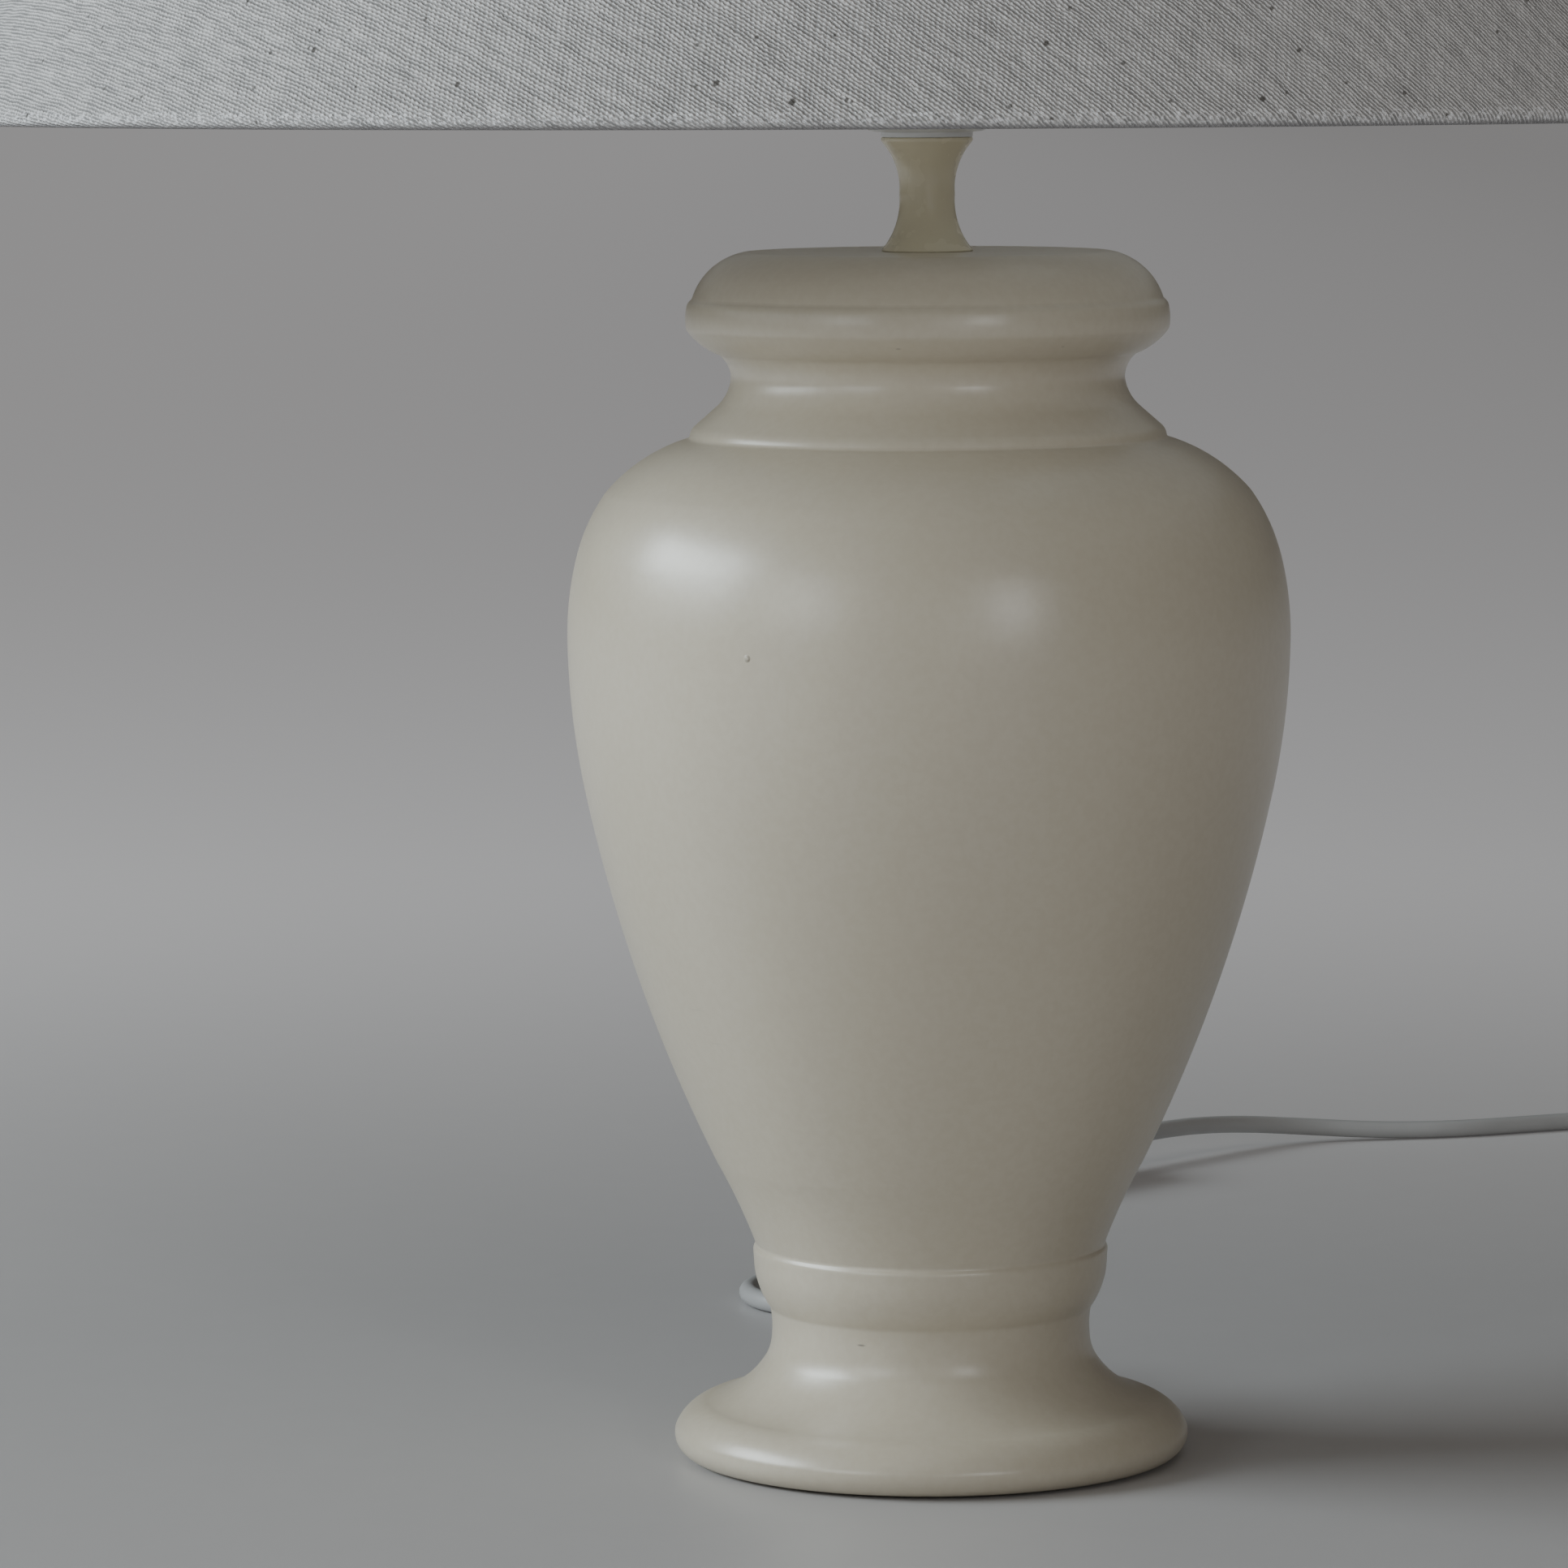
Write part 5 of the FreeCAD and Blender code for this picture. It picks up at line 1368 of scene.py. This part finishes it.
@dataclass
class Shade:
    """The conical shade: cloth rolled round two hoops, a stiff liner, arms and a fitter ring.

    Each ripple of the cloth is its size, its count round the shade and where it starts. The ripples die out
    over ripple_reach above the lower edge.
    """

    shop: Workshop
    radius: float = 275.0
    height: float = 230.0
    level: float = 368.6
    angle: float = 37.3
    cloth: float = 0.6
    hoop: float = 1.5
    gap: float = 0.05
    roll_end: float = 240.0
    step: float = 0.7
    straight_step: float = 3.0
    turns: int = 720
    ripples: tuple[Corner, ...] = ((0.10, 37, 1), (0.08, 83, 0), (0.06, 171, 2))
    ripple_reach: float = 9.0

    def hoops(self) -> tuple[np.ndarray, np.ndarray]:
        """Return the middles of the low and the high hoop's wire, as (radius, level)."""
        depth = self.hoop + self.gap + self.cloth
        low = np.array([self.radius - depth, self.level + depth])
        fall = (self.height - 2 * depth) * math.tan(math.radians(self.angle))
        return low, np.array([low[0] - fall, self.level + self.height - depth])

    def rolled(self, offset: float, step: float) -> np.ndarray:
        """Return the cloth's section at an offset from the hoops' middles.

        It runs round the low hoop, straight up the cone and round the high hoop.
        """
        low, high = self.hoops()
        cone = math.radians(self.angle)
        low_end = math.radians(self.roll_end - 360)
        high_end = cone + (cone - low_end)
        low_turn = np.linspace(low_end, cone, int(offset * (cone - low_end) / step) + 2)
        high_turn = np.linspace(cone, high_end, int(offset * (high_end - cone) / step) + 2)
        round_low = low + offset * np.stack([np.cos(low_turn), np.sin(low_turn)], axis=1)
        round_high = high + offset * np.stack([np.cos(high_turn), np.sin(high_turn)], axis=1)
        count = int(np.hypot(*(high - low)) / self.straight_step)
        share = np.linspace(0, 1, count + 1)[1:-1, None]
        straight = round_low[-1] + (round_high[0] - round_low[-1]) * share
        return np.concatenate([round_low, straight, round_high])

    def flat_map(self, section: np.ndarray) -> np.ndarray:
        """Return the map: the cone laid flat, in metres, with the front upright and the seam behind.

        A point at slant s from the apex and angle t from the front lies at s (sin, cos) of t sin(angle).
        """
        sine = math.sin(math.radians(self.angle))
        travel = np.concatenate([[0], np.cumsum(np.hypot(*np.diff(section, axis=0).T))])
        slant = self.radius / sine - travel
        turn = (np.arange(self.turns + 1) / self.turns - 0.5) * 2 * math.pi * sine
        u = slant[None, :] * np.sin(turn)[:, None]
        v = -slant[None, :] * np.cos(turn)[:, None]
        return np.stack([u, v], axis=2) * MM

    def build(self) -> None:
        """Make the cloth, and dress the liner, hoops, arms and ring."""
        outer = self.rolled(self.hoop + self.gap + self.cloth, self.step)
        inner = self.rolled(self.hoop + self.gap, self.step)
        section = np.concatenate([outer, inner[::-1]])
        uv = np.concatenate([self.flat_map(outer), self.flat_map(inner)[:, ::-1]], axis=1)
        angle = turn_angles(self.turns)
        ripple = sum(size * np.sin(count * angle + start) for size, count, start in self.ripples)
        near_edge = np.exp(-(section[None, :, 1] - self.level) / self.ripple_reach)
        lift = ripple * near_edge * MM
        points = turned_points(section * MM, self.turns, lift)
        points = np.stack([points[..., 1], -points[..., 0], points[..., 2]], axis=2)
        points = np.roll(points, self.turns // 2, axis=0)
        cloth = grid_object("shade_cloth", points, wrap_along=True, uv=uv)
        self.shop.place(cloth, Finish.CLOTH, Body.SHADE, "shade_fabric")
        self.shop.dress_nodes(Finish.LINER, "shade_liner", "seam_tape")
        self.shop.dress_nodes(Finish.WIRE, "top_ring", "bottom_ring", "spider_arms", "fitter_ring")


# ---------------------------------------------------------------- in-line switch and plug

@dataclass
class InlineSwitch:
    """The rocker switch in the cord: two moulded halves, a rocker and a ribbed relief each end.

    Each step of the window's lip is its distance from the window, its corner radius and its height.
    """

    shop: Workshop
    middle: Corner = (29.1, 459.5)
    heading: float = 50.0
    length: float = 62.0
    width: float = 27.0
    half_height: float = 10.5
    corner: float = 9.0
    round_off: float = 3.0
    wall: float = 1.8
    window: Corner = (11.5, 6.4)
    window_corner: float = 1.5
    lip: tuple[Corner, ...] = ((1.2, 2.4, 0.0), (0.7, 2.0, 0.5), (0.2, 1.7, 0.5))
    parting: float = 0.05
    seam: float = 0.35
    seam_inset: float = 0.3
    points: int = 64
    relief_root: float = 4.6
    relief_tip: float = 3.7
    relief_length: float = 14.0
    rocker_length: float = 21.0
    rocker_width: float = 12.0
    rocker_rise: float = 3.4
    rocker_depth: float = 3.2
    travel: float = 14.0

    def set_down(self, points: np.ndarray) -> np.ndarray:
        """Turn points to the cord's heading and move them to the switch's place, in metres."""
        turn = math.radians(self.heading)
        x = points[..., 0] * math.cos(turn) - points[..., 1] * math.sin(turn) + self.middle[0]
        y = points[..., 0] * math.sin(turn) + points[..., 1] * math.cos(turn) + self.middle[1]
        return np.stack([x, y, points[..., 2]], axis=-1) * MM

    def shell_ring(self, inset: float, level: float) -> np.ndarray:
        """Return the case's outline drawn in by an inset, at a level."""
        flat = rounded_ring(self.length / 2 - inset, self.width / 2 - inset, self.corner - inset, self.points)
        return ring_at(flat, level)

    def build(self) -> list[Piece]:
        """Make the switch and return the pieces that hang on the cord with it."""
        pieces = [self.lower_half(), self.upper_half(), self.rocker()]
        turn, reach = math.radians(self.heading), self.length / 2
        for side, name in ((-1, "relief_lamp_side"), (1, "relief_plug_side")):
            forward = (side * math.cos(turn), side * math.sin(turn), 0)
            root = (self.middle[0] * MM + forward[0] * reach * MM,
                    self.middle[1] * MM + forward[1] * reach * MM, self.half_height * MM)
            piece = relief_sleeve(name, self.relief_root * MM, self.relief_tip * MM,
                                  self.relief_length * MM, root, forward, 4)
            pieces.append(self.shop.place(piece, Finish.RUBBER, Body.ROOT, "switch_reliefs"))
        self.shop.dress_nodes(Finish.ZINC, "rocker_pin", "switch_screws")
        self.shop.dress_nodes(Finish.BRASS, "switch_contacts")
        return pieces

    def lower_half(self) -> Piece:
        """Make the lower half: a tray with a rounded foot and a stepped rim."""
        rim = self.half_height - self.parting
        rings = [self.shell_ring(self.round_off * (1 - math.cos(a)), self.round_off * (1 - math.sin(a)))
                 for a in np.linspace(math.pi / 2, 0, 7)]
        rings += [self.shell_ring(0, self.half_height - self.seam), self.shell_ring(self.seam_inset, rim),
                  self.shell_ring(self.wall, rim), self.shell_ring(self.wall, self.wall)]
        rings = [self.set_down(ring) for ring in rings]
        piece = lofted_object("switch_tray", rings)
        return self.shop.place(piece, Finish.MOULDING, Body.ROOT, "switch_base")

    def upper_half(self) -> Piece:
        """Make the upper half: rounded over to the face, a raised lip round the window, and its hollow."""
        top, rim = 2 * self.half_height, self.half_height + self.parting
        long, wide = self.window
        window = ring_at(rounded_ring(long, wide, self.window_corner, self.points), top)
        rings = [self.shell_ring(self.seam_inset, rim), self.shell_ring(0, self.half_height + self.seam)]
        rings += [
            self.shell_ring(self.round_off * (1 - math.cos(a)), top - self.round_off * (1 - math.sin(a)))
            for a in np.linspace(0, math.pi / 2, 7)]
        rings += [ring_at(rounded_ring(long + spread, wide + spread, corner, self.points), top + rise)
                  for spread, corner, rise in self.lip]
        rings += [window, window - np.array([0, 0, self.wall]), self.shell_ring(self.wall, top - self.wall),
                  self.shell_ring(self.wall, rim)]
        points = np.stack([self.set_down(ring) for ring in rings], axis=1)
        piece = grid_object("switch_lid", points, wrap_along=True, sharp=35)
        return self.shop.place(piece, Finish.MOULDING, Body.ROOT, "switch_top")

    def rocker(self) -> Piece:
        """Make the rocker: its side outline carried across, drawn in a little near both sides."""
        pin = 2 * self.half_height - self.wall
        half = self.rocker_length / 2
        lean = half * math.tan(math.radians(self.travel / 2))
        depth = self.rocker_depth
        side = profile_through([
            (-half, pin + self.rocker_rise - 2 * lean), (-depth, pin - depth, 0.94), (depth, pin - depth),
            (half, pin - depth / 4), (half, pin + self.rocker_rise),
            (0, pin + self.rocker_rise - lean, 0.23)], 0.8, closed=True)
        middle = np.array([0, pin])
        width, edge = self.rocker_width / 2, 0.8
        rings = []
        for angle in np.linspace(-math.pi / 2, math.pi / 2, 9):
            draw = 1 - edge * (1 - math.cos(angle)) / half
            across = 0
            if abs(angle) > STRAIGHT:
                across = math.copysign(width - edge, angle) + edge * math.sin(angle)
            outline = middle + (side - middle) * draw
            rings.append(np.stack([outline[:, 0], np.full(len(side), across), outline[:, 1]], axis=1))
        rings = [self.set_down(ring) for ring in rings]
        piece = lofted_object("rocker_key", rings, 40)
        return self.shop.place(piece, Finish.ROCKER, Body.ROCKER, "switch_rocker")


@dataclass
class MainsPlug:
    """The flat two-pin plug lying on the floor, with a ribbed relief and grip ridges."""

    shop: Workshop
    tip: Corner = (330.0, 505.0)
    thickness: float = 13.8
    relief: float = 22.0
    length: float = 36.0
    width: float = 30.0
    back_width: float = 13.0
    taper: float = 17.0
    corner: float = 4.5
    end_length: float = 2.2
    end_narrows: float = 2.0
    end_thins: float = 1.2
    clearance: float = 0.02
    ridge: float = 0.35
    ridge_pitch: float = 3.2
    ridges_between: tuple[float, float] = (6.0, 21.0)
    ridge_thins: float = 0.4
    sleeve_root: float = 5.2
    sleeve_tip: float = 3.7
    pin_radius: float = 2.0
    pin_length: float = 19.0
    pin_spacing: float = 18.8

    def build(self) -> list[Piece]:
        """Make the plug and return its pieces."""
        middle = self.thickness / 2
        root = (self.tip[0] * MM, (self.tip[1] - self.relief) * MM, middle * MM)
        sleeve = relief_sleeve("plug_sleeve", self.sleeve_root * MM, self.sleeve_tip * MM, self.relief * MM,
                               root, (0, 1, 0), 5)
        return [self.shop.place(sleeve, Finish.RUBBER, Body.ROOT, "plug_relief"), self.moulded_body(),
                self.pin(-1, "pin_left"), self.pin(1, "pin_right")]

    def moulded_body(self) -> Piece:
        """Make the body: rounded sections that widen from the cord's end, with shallow ridges."""
        along = np.linspace(0, 1, 61)
        travel = along * self.length
        grow = np.clip(travel / self.taper, 0, 1)
        half_wide = (self.back_width + (self.width - self.back_width) * np.sin(grow * math.pi / 2)) / 2
        first, last = self.ridges_between
        gripped = (travel > first) & (travel < last)
        ridge = self.ridge * np.clip(np.cos(2 * math.pi * travel / self.ridge_pitch), 0, 1) * gripped
        near_end = np.clip(1 - np.minimum(travel, self.length - travel) / self.end_length, 0, 1)
        ease = 1 - np.sqrt(np.clip(1 - near_end ** 2, 0, 1))
        half_wide = half_wide - ridge - self.end_narrows * ease
        half_high = self.thickness / 2 - self.clearance - self.end_thins * ease - self.ridge_thins * ridge
        rings = []
        for wide, high, run in zip(half_wide, half_high, travel):
            flat = rounded_ring(wide, high, self.corner)
            y = np.full(len(flat), self.tip[1] - self.relief - run)
            x, z = flat[:, 0] + self.tip[0], flat[:, 1] + self.thickness / 2
            rings.append(np.stack([x, y, z], axis=1) * MM)
        piece = lofted_object("plug_moulding", rings, 50)
        return self.shop.place(piece, Finish.MOULDING, Body.ROOT, "plug_body")

    def pin(self, side: int, name: str) -> Piece:
        """Make one pin: a plain shank with a rounded tip."""
        radius, length = self.pin_radius, self.pin_length
        profile = profile_through([
            (0, 0), (radius, 0), (radius, length - radius, radius * (1 - math.sqrt(0.5))),
            (0, length)], 0.4) * MM
        origin = ((self.tip[0] + side * self.pin_spacing / 2) * MM,
                  (self.tip[1] - self.relief - self.length) * MM, self.thickness / 2 * MM)
        piece = grid_object(name, swung(turned_points(profile, 32), origin, (0, -1, 0)), sharp=50)
        return self.shop.place(piece, Finish.BRASS, Body.ROOT, "plug_pins")


def main() -> None:
    """Build the studio, the cord and the lamp."""
    logging.basicConfig(level=logging.INFO, format="%(name)s: %(message)s")
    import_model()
    Studio().build()
    shop = Workshop()
    cord = MainsCord(shop)
    lengths = cord.build()
    CeramicBase(shop).build()
    NeckSpool(shop).build()
    LampHolder(shop).build()
    Bulb(shop).build()
    Shade(shop).build()
    switch = InlineSwitch(shop).build()
    plug = MainsPlug(shop).build()


if __name__ == "__main__":
    main()
